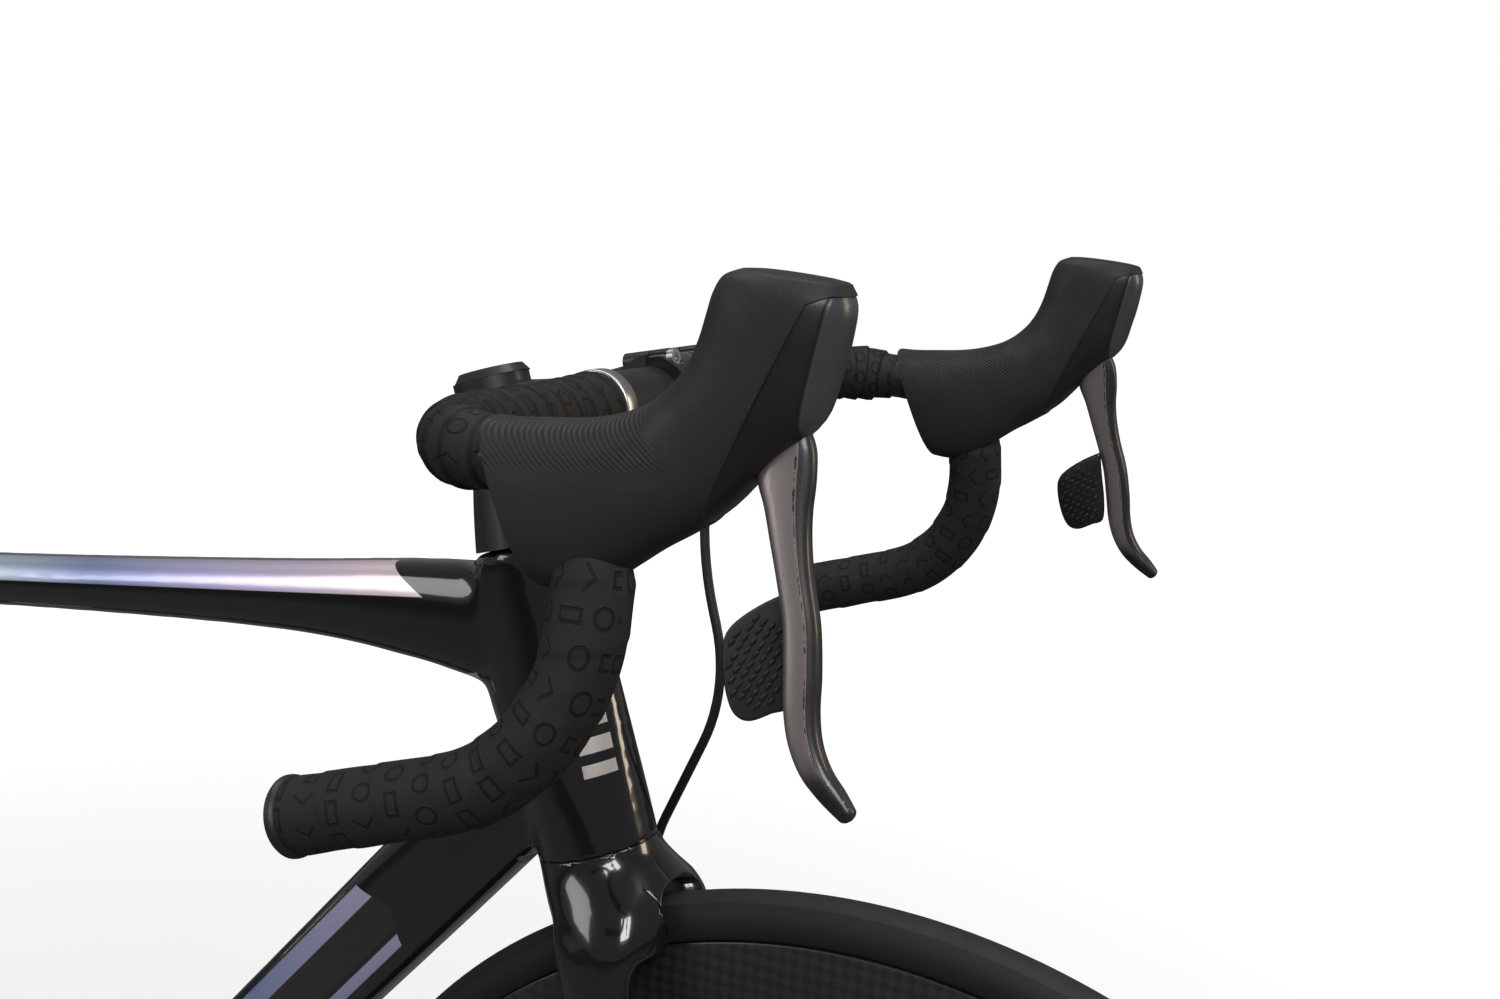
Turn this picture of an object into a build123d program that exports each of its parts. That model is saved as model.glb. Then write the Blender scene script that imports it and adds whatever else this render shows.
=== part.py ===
from build123d import *
import os
from math import sin, cos, tan, pi, radians, degrees, sqrt, atan2, asin, hypot

os.makedirs("parts", exist_ok=True)

# Driving dimensions, millimetres and degrees.  Origin at the bottom bracket centre,
# +X forward, +Y rider's left, +Z up.
bb_drop = 69.0            # wheel axles above the bottom bracket
chainstay = 410.0
front_centre_x = 586.0    # front axle ahead of the bottom bracket
head_angle = 72.5
fork_rake = 45.0
seat_angle = 73.5
tyre_radius = 339.0       # 622 bead seat with a 28 mm tyre
tyre_width = 27.6
rim_outer_r = 317.0
rim_depth = 49.0
head_low, head_high = 376.0, 526.0    # head tube ends along the steering axis
down_angle = 47.7         # down tube above horizontal
down_offset = 2.0         # its centre line above the bottom bracket centre
seat_tube_top = 515.0
seatpost_r = 13.6
seatpost_bore_r = 13.65
saddle_height = 662.0     # rail clamp along the seat tube
stem_length = 100.0
stem_angle = 11.5         # stem above horizontal
stem_s = 591.0            # stem centre along the steering axis
bar_clamp_r = 15.9
bar_r = 11.9
tape_r = 16.2
bar_half = 200.0          # half width of the straight top
hood_half = 206.0         # half width of the bar under the hoods
drop_half = 228.0         # half width at the bottom of the drops
bar_end_back = 31.3       # bar end behind the straight top
bar_reach = 84.5
bar_drop = 144.3
tape_start = 70.0         # where the tape begins on the tops
hub_front, hub_rear = 100.0, 142.0
axle_r = 6.0
running = 0.05            # radial running fit
rotor_r = 80.0
rotor_y_front, rotor_y_rear = 40.0, 60.0
crank_length = 172.5
spindle_r = 12.0
ring_teeth, small_ring_teeth = 48, 35
cog_teeth = (10, 11, 12, 13, 14, 15, 17, 19, 21, 24, 28, 33)
chain_pitch = 12.7
chain_y = -44.95          # chain plane, on the 17 tooth sprocket
cog_step = 3.75
pulley_teeth = 12
lever_lean = 9.5          # outward lean of the lever blades
hose_r = 2.5

chain_cog = cog_teeth.index(17)
rear_x = -sqrt(chainstay ** 2 - bb_drop ** 2)
front = (front_centre_x, bb_drop)
rear = (rear_x, bb_drop)
ca, sa = cos(radians(head_angle)), sin(radians(head_angle))
A = Vector(-ca, 0, sa)                     # up the steering axis
N = Vector(sa, 0, ca)                      # square to it, forward
foot = Vector(front[0], 0, front[1]) - N * fork_rake
T = Vector(-cos(radians(seat_angle)), 0, sin(radians(seat_angle)))
M = Vector(T.Z, 0, -T.X)                   # square to the seat tube, forward


def S(s, fwd=0.0, y=0.0):
    """Point at s along the steering axis, fwd ahead of it."""
    return foot + A * s + N * fwd + Vector(0, y, 0)


def save(node, *shapes):
    solids = [s for shape in shapes for s in shape.solids()]
    part = solids[0] if len(solids) == 1 else Compound(children=[Solid(s.wrapped) for s in solids])
    part.label = node
    export_step(part, f"parts/{node}.step")
    return part


def rod(p, q, r, r2=None):
    p, q = Vector(*p), Vector(*q)
    d = q - p
    plane = Plane(origin=p, z_dir=d)
    if r2 is None:
        return extrude(plane * Circle(r), d.length)
    return loft([plane * Circle(r), Plane(origin=q, z_dir=d) * Circle(r2)])


def cyl(x, z, r, y0, y1):
    """Cylinder along Y."""
    return rod((x, y0, z), (x, y1, z), r)


def ring(x, z, ro, ri, y0, y1):
    return cyl(x, z, ro, y0, y1) - cyl(x, z, ri, y0 - 1, y1 + 1)


def turned(x, z, profile):
    """Body of revolution about Y at x, z from (radius, y) points."""
    face = make_face(Plane.XY * Polyline([(r, y) for r, y in profile], close=True))
    return Pos(x, 0, z) * revolve(face, Axis.Y)


def box(x0, x1, y0, y1, z0, z1):
    return Pos((x0 + x1) / 2, (y0 + y1) / 2, (z0 + z1) / 2) * Box(x1 - x0, y1 - y0, z1 - z0)


def tube(stations, wide=0.0):
    """Loft of ellipses: (centre, direction, sideways half width, in-plane half depth)."""
    faces = []
    for p, d, half_y, half_d in stations:
        plane = Plane(origin=Vector(*p), x_dir=(0, 1, 0), z_dir=Vector(*d))
        faces.append(plane * Ellipse(half_y + wide, half_d + wide))
    return loft(faces)


def prism(points, y0, y1):
    """Side profile in x, z pushed across from y0 to y1."""
    plane = Plane(origin=(0, y1, 0), x_dir=(1, 0, 0), z_dir=(0, -1, 0))
    return extrude(plane * make_face(Polyline([(x, z) for x, z in points], close=True)), y1 - y0, dir=(0, -1, 0))


def mirror_y(shape):
    return mirror(shape, Plane.XZ)


def pipe(points, radius, r, r_in=0.0):
    path = FilletPolyline(*points, radius=radius)
    end = Plane(origin=path @ 0, z_dir=path % 0)
    solid = sweep(end * Circle(r), path)
    if r_in:
        solid -= sweep(end * Circle(r_in), path)
    return solid


# ---- frame -------------------------------------------------------------------------
def head_solid():
    shape = [(head_low, 0, 31, 31), (400, -1, 30, 32), (455, -4, 25, 36),
             (500, -3, 24, 33), (head_high, -1, 24.5, 28)]
    faces = [Plane(origin=S(s, c), x_dir=(0, 1, 0), z_dir=A) * Ellipse(half_y, half_d)
             for s, c, half_y, half_d in shape]
    return loft(faces)


def axis_rod(s0, s1, r, r2=None):
    return rod(S(s0), S(s1), r, r2)


head_bore = axis_rod(head_low - 1, head_low + 8, 26) + axis_rod(head_low + 8, 500, 22) \
    + axis_rod(499, head_high - 7, 17.5) + axis_rod(head_high - 7, head_high + 1, 21)

down_dir = Vector(cos(radians(down_angle)), 0, sin(radians(down_angle)))
down_up = Vector(-down_dir.Z, 0, down_dir.X)
down_foot = down_up * down_offset


def down_point(t, up=0.0, y=0.0):
    return down_foot + down_dir * t + down_up * up + Vector(0, y, 0)


def down_solid(wall=0.0):
    low = Vector(2, 0, 6)
    lean = (down_point(260) - low).normalized()
    return tube([(low, lean, 26, 26), (down_point(200), lean * .5 + down_dir * .5, 25, 28.5),
                 (down_point(400), down_dir, 24, 29.5), (down_point(600), down_dir, 26, 31)], -wall)


def top_solid(wall=0.0):
    z_seat, z_head = 467.0, 518.0
    d = Vector(490, 0, z_head - z_seat).normalized()
    return tube([((-140, 0, z_seat), d, 16, 15), ((60, 0, z_seat + 22.5), d, 18, 15.5),
                 ((230, 0, z_seat + 40), d, 19, 18), ((392, 0, z_head + 2), d, 21, 27)], -wall)


def seat_solid(wall=0.0):
    return tube([(T * 8, T, 20, 24), (T * 120, T, 17.5, 21), (T * seat_tube_top, T, 17.5, 20)], -wall)


shell = cyl(0, 0, 25, -43.25, 43.25)
head_outer = head_solid()
seat_outer = seat_solid()
post_bore = rod(T * 120, T * (seat_tube_top + 30), seatpost_bore_r)

bosses, boss_cut = [], []
for t in (236.0, 300.0):
    bosses.append(rod(down_point(t, 15), down_point(t, 31.5), 5) - rod(down_point(t, 14), down_point(t, 33), 2.5))
    boss_cut.append(rod(down_point(t, 13), down_point(t, 33), 5))
for t in (196.0, 260.0):
    bosses.append(rod(T * t + M * 15.5, T * t + M * 22.5, 5) - rod(T * t + M * 14, T * t + M * 24, 2.5))
    boss_cut.append(rod(T * t + M * 15, T * t + M * 24, 5))

head_tube = head_outer - head_bore
seat_tube = seat_outer - post_bore - rod(T * 8, T * 121, 13.65) - cyl(0, 0, 25, -60, 60) \
    - boss_cut[2] - boss_cut[3]
crown_room = axis_rod(head_low - 60, head_low + .4, 44)     # the fork crown turns in here
down_tube = down_solid() - down_solid(2.2) - head_outer - shell - seat_outer - boss_cut[0] - boss_cut[1] - crown_room
top_tube = top_solid() - top_solid(1.8) - head_outer - seat_outer - rod(T * 300, T * 560, 17)
down_tube = max(down_tube.solids(), key=lambda s: s.volume)
top_tube = max(top_tube.solids(), key=lambda s: s.volume)
seat_tube = max(seat_tube.solids(), key=lambda s: s.volume)

save("down_tube", down_tube)
save("top_tube", top_tube)
save("seat_tube", seat_tube)
save("bottle_bosses", *bosses)

bearings = [axis_rod(head_low + .2, head_low + 8, 26) - axis_rod(head_low, head_low + 9, 20 + running),
            axis_rod(head_high - 7, head_high, 21) - axis_rod(head_high - 8, head_high + 1, 15 + running),
            ring(0, 0, 20.5, spindle_r + running, 34, 43.25),
            ring(0, 0, 20.5, spindle_r + running, -43.25, -34)]
save("head_tube", head_tube, *bearings[:2])
save("bb_shell", shell - cyl(0, 0, 20.5, -50, 50), *bearings[2:])


def stays():
    """Chainstays with dropouts, and seatstays, left side first then mirrored."""
    rx, rz = rear
    low = tube([((-14, 24, 0), (-1, .08, .1), 7, 14), ((-100, 27.5, 12), (-1, .2, .17), 7, 13),
                ((-235, 51, 38), (-1, .2, .18), 6, 11), ((-330, 71, 58), (-1, .1, .15), 5.5, 10),
                ((rx + 14, 75.5, rz - 3), (-1, 0, .12), 4.5, 9)])
    drop = prism([(rx + 26, rz - 8), (rx + 26, rz + 6), (rx + 6, rz + 20), (rx - 8, rz + 20),
                  (rx - 15, rz + 8), (rx - 15, rz - 10), (rx - 4, rz - 16), (rx + 8, rz - 14)],
                 hub_rear / 2, hub_rear / 2 + 9)
    high = tube([((rx + 2, 75.5, rz + 14), (.5, 0, 1), 4.5, 8), ((-318, 55, 196), (.55, -.2, 1), 5.5, 8),
                 ((-222, 25.5, 326), (.65, -.18, 1), 6, 8.5), ((-135, 11, 437), (.7, -.1, 1), 6, 9)])
    axle_hole = cyl(rx, rz, axle_r, 60, 90)
    low = low - shell - seat_outer - down_solid() - axle_hole
    low = max(low.solids(), key=lambda s: s.volume)
    drop = drop - axle_hole
    low = low + drop
    high = high - seat_outer - rod(T * 100, T * 600, 18) - drop - low
    high = max(high.solids(), key=lambda s: s.volume)
    return low, high


chain_left, seat_left = stays()
hanger = prism([(rear_x - 8, bb_drop - 12), (rear_x + 6, bb_drop - 12), (rear_x + 2, bb_drop - 36),
                (rear_x - 16, bb_drop - 36)], -hub_rear / 2 - 7, -hub_rear / 2)
chain_right = mirror_y(chain_left)
save("chainstays", chain_left, chain_right, hanger - chain_right)
save("seatstays", seat_left, mirror_y(seat_left))

clamp = rod(T * (seat_tube_top + .1), T * (seat_tube_top + 13), 19) - rod(T * 500, T * 540, seatpost_bore_r) \
    - Pos(*(T * (seat_tube_top + 7) - M * 17)) * Rot(0, seat_angle - 90, 0) * Box(12, 1.5, 20)
save("seat_clamp", clamp)
save("rear_axle", cyl(*rear, axle_r, -hub_rear / 2 - 9, hub_rear / 2 + 9)
     + cyl(*rear, 9, hub_rear / 2 + 9, hub_rear / 2 + 13) - cyl(*rear, 3, hub_rear / 2 + 3, hub_rear / 2 + 14))

# ---- seatpost and saddle -----------------------------------------------------------
post_top = T * saddle_height
post = (rod(T * 330, T * (saddle_height - 22), seatpost_r) - rod(T * 329, T * (saddle_height - 40), 11.4))
head = rod(T * (saddle_height - 22), T * (saddle_height - 8), seatpost_r, 12) \
    + box(post_top.X - 19, post_top.X + 19, -24, 24, post_top.Z - 9, post_top.Z + 6)
rails = []
for side in (1, -1):
    px, pz = post_top.X, post_top.Z
    rails.append(pipe([(px + 96, side * 9, pz + 24), (px + 60, side * 18, pz + .5), (px - 52, side * 22, pz - .5),
                       (px - 98, side * 34, pz + 27)], 22, 3.5))
rail_cut = [pipe([(px + 96, side * 9, pz + 24), (px + 60, side * 18, pz + .5), (px - 52, side * 22, pz - .5),
                  (px - 98, side * 34, pz + 27)], 22, 3.5) for side in (1, -1)]
for cut in rail_cut:
    head = head - cut
save("seatpost", post + head)
save("saddle_rails", *rails)


def saddle():
    shape = [(138, 11, 6, 34.5), (126, 17, 11, 33), (60, 21, 14.5, 33.5), (0, 31, 14, 34.5),
             (-55, 54, 13.5, 38), (-100, 70, 13.5, 41), (-128, 66, 11, 43), (-141, 44, 6, 44)]
    faces = []
    for x, half_y, half_z, z in shape:
        plane = Plane(origin=(post_top.X + x, 0, post_top.Z + z), x_dir=(0, 1, 0), z_dir=(1, 0, 0))
        faces.append(plane * Ellipse(half_y, half_z))
    body = loft(faces)
    return body - rails[0] - rails[1]


save("saddle", saddle())


# ---- wheels ------------------------------------------------------------------------
def rim():
    r0, r1 = rim_outer_r, rim_outer_r - rim_depth
    half = [(r0, 10.4), (r0, 13.4), (r0 - 16, 14), (r0 - 32, 11.8), (r0 - 44, 6.6), (r1, 0)]
    well = [(r0 - 12, 0), (r0 - 11.5, 6), (r0 - 9, 10.4)]
    outer = well + list(reversed(half[:-1]))[::-1]
    profile = [(r0 - 12, 0), (r0 - 11.5, 6), (r0 - 9, 10.4)] + half
    profile += [(r, -y) for r, y in reversed(profile[1:-1])]
    hollow = [(r0 - 14, 6), (r0 - 18, 11.8), (r0 - 31, 9.8), (r0 - 42, 5.2), (r0 - 45.5, 0)]
    hollow += [(r, -y) for r, y in reversed(hollow[:-1])]
    return turned(0, 0, profile) - turned(0, 0, hollow)


def tyre():
    c, r = tyre_radius - tyre_width / 2, tyre_width / 2
    skin = Pos(c, 0) * Circle(r) - Pos(c, 0) * Circle(r - 2.2) - Pos(rim_outer_r - 20, 0) * Rectangle(40.2, 60)
    for side in (1, -1):
        skin = skin + Pos(rim_outer_r - 3.7, side * 9.3) * Rectangle(9.4, 2.0)
    return revolve(skin, Axis.Y)


def spokes(flanges):
    out = []
    for j in range(24):
        side = 1 if j % 2 else -1
        odd = (j // 2) % 2
        lean = radians(62 if odd else -62)
        a = radians(15 * j)
        y = flanges[0] if side > 0 else flanges[1]
        y += 1.9 if odd else -1.9
        p = (21.5 * cos(a + lean), y, 21.5 * sin(a + lean))
        reach = rim_outer_r - rim_depth - .3
        q = (reach * cos(a), side * 1.5, reach * sin(a))
        d = Vector(*q) - Vector(*p)
        tip = Vector(*q) - d.normalized() * 9
        out.append(rod(p, tip, 1.0) + rod(tip, q, 2.1))
    return out


def hub(flanges, ends, neck):
    """Shell of revolution, end caps just short of the dropouts."""
    lo, hi = ends
    fr, fl = flanges[1], flanges[0]
    bore = axle_r + running
    profile = [(bore, lo), (9.5, lo), (neck[0], fr - 8), (17, fr - 4), (24.5, fr - 3.4), (24.5, fr + 3.4),
               (16, fr + 6), (13, (fr + fl) / 2), (16, fl - 6), (24.5, fl - 3.4), (24.5, fl + 3.4),
               (17, fl + 4.4), (neck[1], fl + 6), (neck[1], hi - 12), (9.5, hi - 11), (9.5, hi), (bore, hi)]
    return turned(0, 0, profile)


def rotor(y):
    disc = ring(0, 0, rotor_r, rotor_r - 15, y - .9, y + .9)
    carrier = ring(0, 0, 27, 17, y - 1.4, y + 1.4)
    for i in range(6):
        a = radians(60 * i)
        arm = rod((24 * cos(a), y, 24 * sin(a)), (67 * cos(a + .35), y, 67 * sin(a + .35)), 2.6)
        carrier = carrier + (arm & box(-90, 90, y - 1.2, y + 1.2, -90, 90))
    disc = disc + carrier
    holes = [cyl((rotor_r - 7.5 + 4 * (i % 2 * 2 - 1)) * cos(2 * pi * i / 24),
                                (rotor_r - 7.5 + 4 * (i % 2 * 2 - 1)) * sin(2 * pi * i / 24), 2.4, y - 3, y + 3)
             for i in range(24)]
    for hole in holes:
        disc = disc - hole
    return disc


def cut_spoke_holes(shell_part, rods):
    for s in rods:
        shell_part = shell_part - s
    return shell_part


front_flanges, rear_flanges = (21.0, -33.0), (32.0, -17.0)
wheel_f, wheel_r = Pos(front[0], 0, front[1]), Pos(rear[0], 0, rear[1])
front_spokes, rear_spokes = spokes(front_flanges), spokes(rear_flanges)
front_hub = hub(front_flanges, (-49.7, 49.7), (12, 17))
rear_hub = hub(rear_flanges, (-21.5, 70.7), (16, 17)) \
    + ring(0, 0, 8, axle_r + running, -70.7, -21.4)
the_rim, the_tyre = rim(), tyre()
for label, place, lace, centre, y_rotor in (("front", wheel_f, front_spokes, front_hub, rotor_y_front),
                                            ("rear", wheel_r, rear_spokes, rear_hub, rotor_y_rear)):
    save(f"{label}_tyre", place * the_tyre)
    save(f"{label}_rim", place * the_rim)
    save(f"{label}_spokes", *[place * s for s in lace])
    save(f"{label}_hub", place * cut_spoke_holes(centre, lace))
    save(f"{label}_rotor", place * rotor(y_rotor))


# ---- fork --------------------------------------------------------------------------
def fork():
    steerer = axis_rod(366, head_low + 8, 20) + axis_rod(head_low + 8, 450, 20, 14.3) + axis_rod(450, 610, 14.3)
    crown = loft([Plane(origin=S(373), x_dir=(0, 1, 0), z_dir=A) * Ellipse(31, 31),
                  Plane(origin=S(355, 2), x_dir=(0, 1, 0), z_dir=A) * Ellipse(39, 33),
                  Plane(origin=S(328, 1), x_dir=(0, 1, 0), z_dir=A) * Ellipse(49, 27)])
    blades = []
    for side in (1, -1):
        spots = [(352, 0, 33, 11, 24), (310, -2, 38.5, 10, 20.5), (230, -3, 44.5, 8.5, 16.5),
                 (130, 8, 51, 7, 13.5), (60, 24, 54.8, 5.4, 11), (4, 42, 55.5, 5, 8)]
        faces = []
        for s, f, y, half_y, half_d in spots:
            plane = Plane(origin=S(s, f, side * y), x_dir=(0, 1, 0), z_dir=A)
            faces.append(plane * Ellipse(half_y, half_d))
        blades.append(loft(faces))
    tips = [cyl(*front, 12.5, side * 50 if side > 0 else -60.5, 60.5 if side > 0 else -50) for side in (1, -1)]
    body = crown + blades[0] + blades[1] + tips[0] + tips[1] + steerer
    inside = turned(front[0], front[1], [(0, 17.5), (325, 20.5), (340, 19), (346, 12), (348, 0), (346, -12),
                                         (340, -19), (325, -20.5), (0, -17.5)])
    body = body - inside - cyl(*front, 14, -50, 50) - cyl(*front, axle_r, -70, 70) - axis_rod(360, 615, 11.5)
    return body


bar_mid = S(stem_s) + Vector(cos(radians(stem_angle)), 0, sin(radians(stem_angle))) * stem_length
bx, bz = bar_mid.X, bar_mid.Z
bar_points = [(bx, 0, bz), (bx, bar_half, bz), (bx + bar_reach, hood_half, bz - 3),
              (bx + bar_reach, drop_half, bz - 107), (bx - bar_end_back, drop_half + 4, bz - bar_drop)]
bar_bends = [38, 36, 74]

# Front brake hose: out of the bar through a port, down to the fork, inside the blade, out to the caliper.
span = [(bx, 175, bz), (bx, 48, bz), (bx - 2, 40, bz - 80), (bx + 22, 34, bz - 150), S(352, 6, 33.5), S(300, -1, 38.5),
        S(170, 2, 47), S(128, -5, 46), S(108, -14, 44)]


def soft_bends(points):
    """Large tangent arcs, each as wide as its shorter neighbour allows."""
    radii = []
    for i in range(1, len(points) - 1):
        a, b, c = (Vector(*points[k]) for k in (i - 1, i, i + 1))
        turn = (b - a).get_angle(c - b)
        radii.append(.45 * min((b - a).length, (c - b).length) / tan(radians(turn) / 2))
    return radii


hose_points = [tuple(p) for p in span]
hose = pipe(hose_points, soft_bends(hose_points), hose_r)
hose_room = pipe(hose_points, soft_bends(hose_points), hose_r + .05)
save("front_hose", hose)

front_fork = fork() - hose_room


def caliper(y):
    """Two-piston body astride the disc, mount face on local +X, centre at the origin."""
    body = box(-13, 18, y - 17, y + 15, -19, 19)
    body = body + cyl(-3, 0, 9, y + 15, y + 18) + cyl(-3, 0, 9, y - 20, y - 17)
    return body - box(-9.5, 3.5, y - 4.8, y + 4.8, -12, 12)


def pad(y, side):
    """Backing plate and friction block, 0.3 mm off the disc."""
    y0, y1 = (y + 1.2, y + 4.4) if side > 0 else (y - 4.4, y - 1.2)
    return box(-9.2, 3.2, y0, y1, -11.7, 11.7)


fc = S(50, -3)
front_place = Pos(fc.X, 0, fc.Z) * Rot(0, head_angle - 90, 0)
rc = Vector(rear_x + 54, 0, bb_drop + 38)
rear_place = Pos(rc.X, 0, rc.Z) * Rot(0, 98, 0)
disc_front = cyl(*front, rotor_r + 1.5, rotor_y_front - 1.7, rotor_y_front + 1.7)
disc_rear = cyl(*rear, rotor_r + 1.5, rotor_y_rear - 1.7, rotor_y_rear + 1.7)
front_cal = front_place * caliper(rotor_y_front) - disc_front
rear_cal = rear_place * caliper(rotor_y_rear) - disc_rear
front_fork = front_fork - front_place * box(-14, 18, 19, 58.5, -19.5, 19.5)
front_fork = max(front_fork.solids(), key=lambda s: s.volume)
save("fork", front_fork)
front_cal = front_cal - front_fork - hose_room
save("front_caliper", max(front_cal.solids(), key=lambda s: s.volume))
rear_cal = rear_cal - chain_left - seat_left
save("rear_caliper", max(rear_cal.solids(), key=lambda s: s.volume))
for end, place, y in (("front", front_place, rotor_y_front), ("rear", rear_place, rotor_y_rear)):
    save(f"{end}_pad_left", place * pad(y, 1))
    save(f"{end}_pad_right", place * pad(y, -1))
save("front_axle", cyl(*front, axle_r, -60.5, 60.5) + cyl(*front, 9, 60.5, 64.5) - cyl(*front, 3, 54, 66))

# ---- stem and bar ------------------------------------------------------------------
cone = loft([Plane(origin=S(head_high + .4, -1), x_dir=(0, 1, 0), z_dir=A) * Ellipse(24, 27.5),
             Plane(origin=S(head_high + 20, -1), x_dir=(0, 1, 0), z_dir=A) * Ellipse(21, 24),
             Plane(origin=S(570.5), x_dir=(0, 1, 0), z_dir=A) * Ellipse(18, 19)])
collar = axis_rod(head_high - 7, head_high + 1, 15) + cone
save("headset_cone", collar - axis_rod(500, 600, 14.3))

stem_dir = Vector(cos(radians(stem_angle)), 0, sin(radians(stem_angle)))
stem_up = Vector(-stem_dir.Z, 0, stem_dir.X)


def stem():
    root = S(stem_s)
    clamp_ring = axis_rod(571, 611, 19.5)
    beam = loft([Plane(origin=root + stem_dir * 4, x_dir=(0, 1, 0), z_dir=stem_dir) * RectangleRounded(35, 37, 12),
                 Plane(origin=root + stem_dir * 50, x_dir=(0, 1, 0), z_dir=stem_dir) * RectangleRounded(31, 31, 11),
                 Plane(origin=root + stem_dir * 86, x_dir=(0, 1, 0), z_dir=stem_dir) * RectangleRounded(42, 36, 8)])
    front_ring = cyl(bx, bz, 21, -22, 22)
    half = Pos(*(bar_mid - stem_dir * 70.2)) * Rot(0, -stem_angle, 0) * Box(140, 60, 90)
    body = (clamp_ring + beam + front_ring) & half
    slot = Pos(*(root - N * 22)) * Rot(0, 90 - head_angle, 0) * Box(20, 1.6, 60)
    return body - axis_rod(560, 620, 14.35) - cyl(bx, bz, bar_clamp_r + .05, -30, 30) - slot


def faceplate():
    cap = Pos(*(bar_mid + stem_dir * 15.4)) * Rot(0, -stem_angle, 0) * Box(30, 44, 40)
    plate = (cyl(bx, bz, 21, -22, 22) & cap) - cyl(bx, bz, bar_clamp_r + .05, -30, 30)
    for up in (1, -1):
        for y in (-15, 15):
            p = bar_mid + stem_up * (up * 18.6) + Vector(0, y, 0)
            plate = plate + (rod(p + stem_dir * .4, p + stem_dir * 9, 4.6) - cyl(bx, bz, bar_clamp_r + .05, -30, 30))
    return plate


bolt_rods, bolt_cut = [], []
for up in (1, -1):
    for y in (-15, 15):
        p = bar_mid + stem_up * (up * 18.6) + Vector(0, y, 0)
        bolt_rods.append(rod(p - stem_dir * 9, p + stem_dir * 9.2, 2.5) + rod(p + stem_dir * 9.2, p + stem_dir * 12.6, 4.1)
                         - rod(p + stem_dir * 10.6, p + stem_dir * 13, 2.0))
        bolt_cut.append(rod(p - stem_dir * 9.1, p + stem_dir * 9.2, 2.55))
the_stem, the_plate = stem(), faceplate()
for up in (1, -1):
    for y in (-15, 15):
        p = bar_mid + stem_up * (up * 18.6) + Vector(0, y, 0)
        the_stem = the_stem + (rod(p - stem_dir * 14, p - stem_dir * .2, 4.6) - cyl(bx, bz, bar_clamp_r + .05, -30, 30))
for cut in bolt_cut:
    the_stem, the_plate = the_stem - cut, the_plate - cut
for up in (1, -1):
    for y in (-15, 15):
        p = bar_mid + stem_up * (up * 18.6) + Vector(0, y, 0)
        the_plate = the_plate - rod(p + stem_dir * 9.15, p + stem_dir * 30, 4.3)
save("stem", max(the_stem.solids(), key=lambda s: s.volume))
save("stem_faceplate", max(the_plate.solids(), key=lambda s: s.volume))
save("stem_bolts", *bolt_rods)
lid = loft([Plane(origin=S(611.2, 1), x_dir=(0, 1, 0), z_dir=A) * Ellipse(18, 20),
            Plane(origin=S(615.5, 1), x_dir=(0, 1, 0), z_dir=A) * Ellipse(15, 17)])
save("stem_cap", lid + axis_rod(596, 611.5, 11.4))


def half_bar(r, r_in=0.0, start=0.0):
    points = [(bx, start, bz)] + bar_points[1:]
    return pipe(points, bar_bends, r, r_in)


def handlebar():
    """Oversized centre tapering to the grip diameter."""
    side = half_bar(bar_r, bar_r - 2.2, 108)
    middle = revolve(make_face(Plane.XY * Polyline([(0, 0), (0, bar_clamp_r), (78, bar_clamp_r), (108, bar_r),
                                                   (108, 0)], close=True)), Axis.X)
    inner = revolve(make_face(Plane.XY * Polyline([(-1, 0), (-1, bar_clamp_r - 2.4), (76, bar_clamp_r - 2.4),
                                                  (108, bar_r - 2.2), (109, 0)], close=True)), Axis.X)
    middle = Pos(bx, 0, bz) * Rot(0, 0, 90) * (middle - inner)
    half = side + middle
    return half + mirror_y(half)


def tape():
    skin = half_bar(tape_r, 0, 112) - half_bar(bar_r, 0, 111)
    middle = revolve(make_face(Plane.XY * Polyline([(tape_start, bar_clamp_r), (tape_start, 18.3), (112, tape_r),
                                                   (112, bar_r), (108, bar_r), (78, bar_clamp_r)], close=True)),
                     Axis.X)
    middle = Pos(bx, 0, bz) * Rot(0, 0, 90) * middle
    return skin + middle


bar = handlebar() - hose_room
save("handlebar", max(bar.solids(), key=lambda s: s.volume))
bar_end = Vector(*bar_points[-1])
bar_out = (bar_end - Vector(*bar_points[-2])).normalized()
plug = rod(bar_end, bar_end + bar_out * 3, tape_r) + rod(bar_end - bar_out * 14, bar_end + bar_out, bar_r - 2.2)

# ---- brake and shift levers, left side first ----------------------------------------
lever_y = 206.0
cover = [(624, 706), (618, 692), (611, 678), (603, 661), (593, 638)]
rear_side = [(592, 629), (583, 622), (571, 614.5), (560, 606), (549, 598.5), (537, 595), (525, 597), (512, 607),
             (502, 622), (497, 640), (501, 652.5), (516, 653.5), (538, 656), (556, 661), (569, 667), (578, 677),
             (583, 688), (586, 699), (588, 706), (595, 711), (608, 712)]
nose_side = [(626, 711), (631, 710), (636, 704), (636, 691), (633, 676), (629, 663), (618, 661), (611, 648),
             (605, 641), (600, 636), (595, 634)]
pivot = (614.0, 655.0)


def prism_taper(points, depth):
    """Side outline pushed toward -Y from y = 0, drawing in as it goes."""
    plane = Plane(origin=(0, 0, 0), x_dir=(1, 0, 0), z_dir=(0, -1, 0))
    return extrude(plane * make_face(Polyline([(x, z) for x, z in points], close=True)), depth, taper=38)


def grip(points, half_width):
    """Side outline pushed across in three tapering layers."""
    inner = half_width * .55
    body = prism(points, lever_y - inner, lever_y + inner)
    layer = prism_taper(points, half_width - inner)
    return body + Pos(0, lever_y - inner, 0) * layer + Pos(0, lever_y + inner, 0) * mirror(layer, Plane.XZ)


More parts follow.
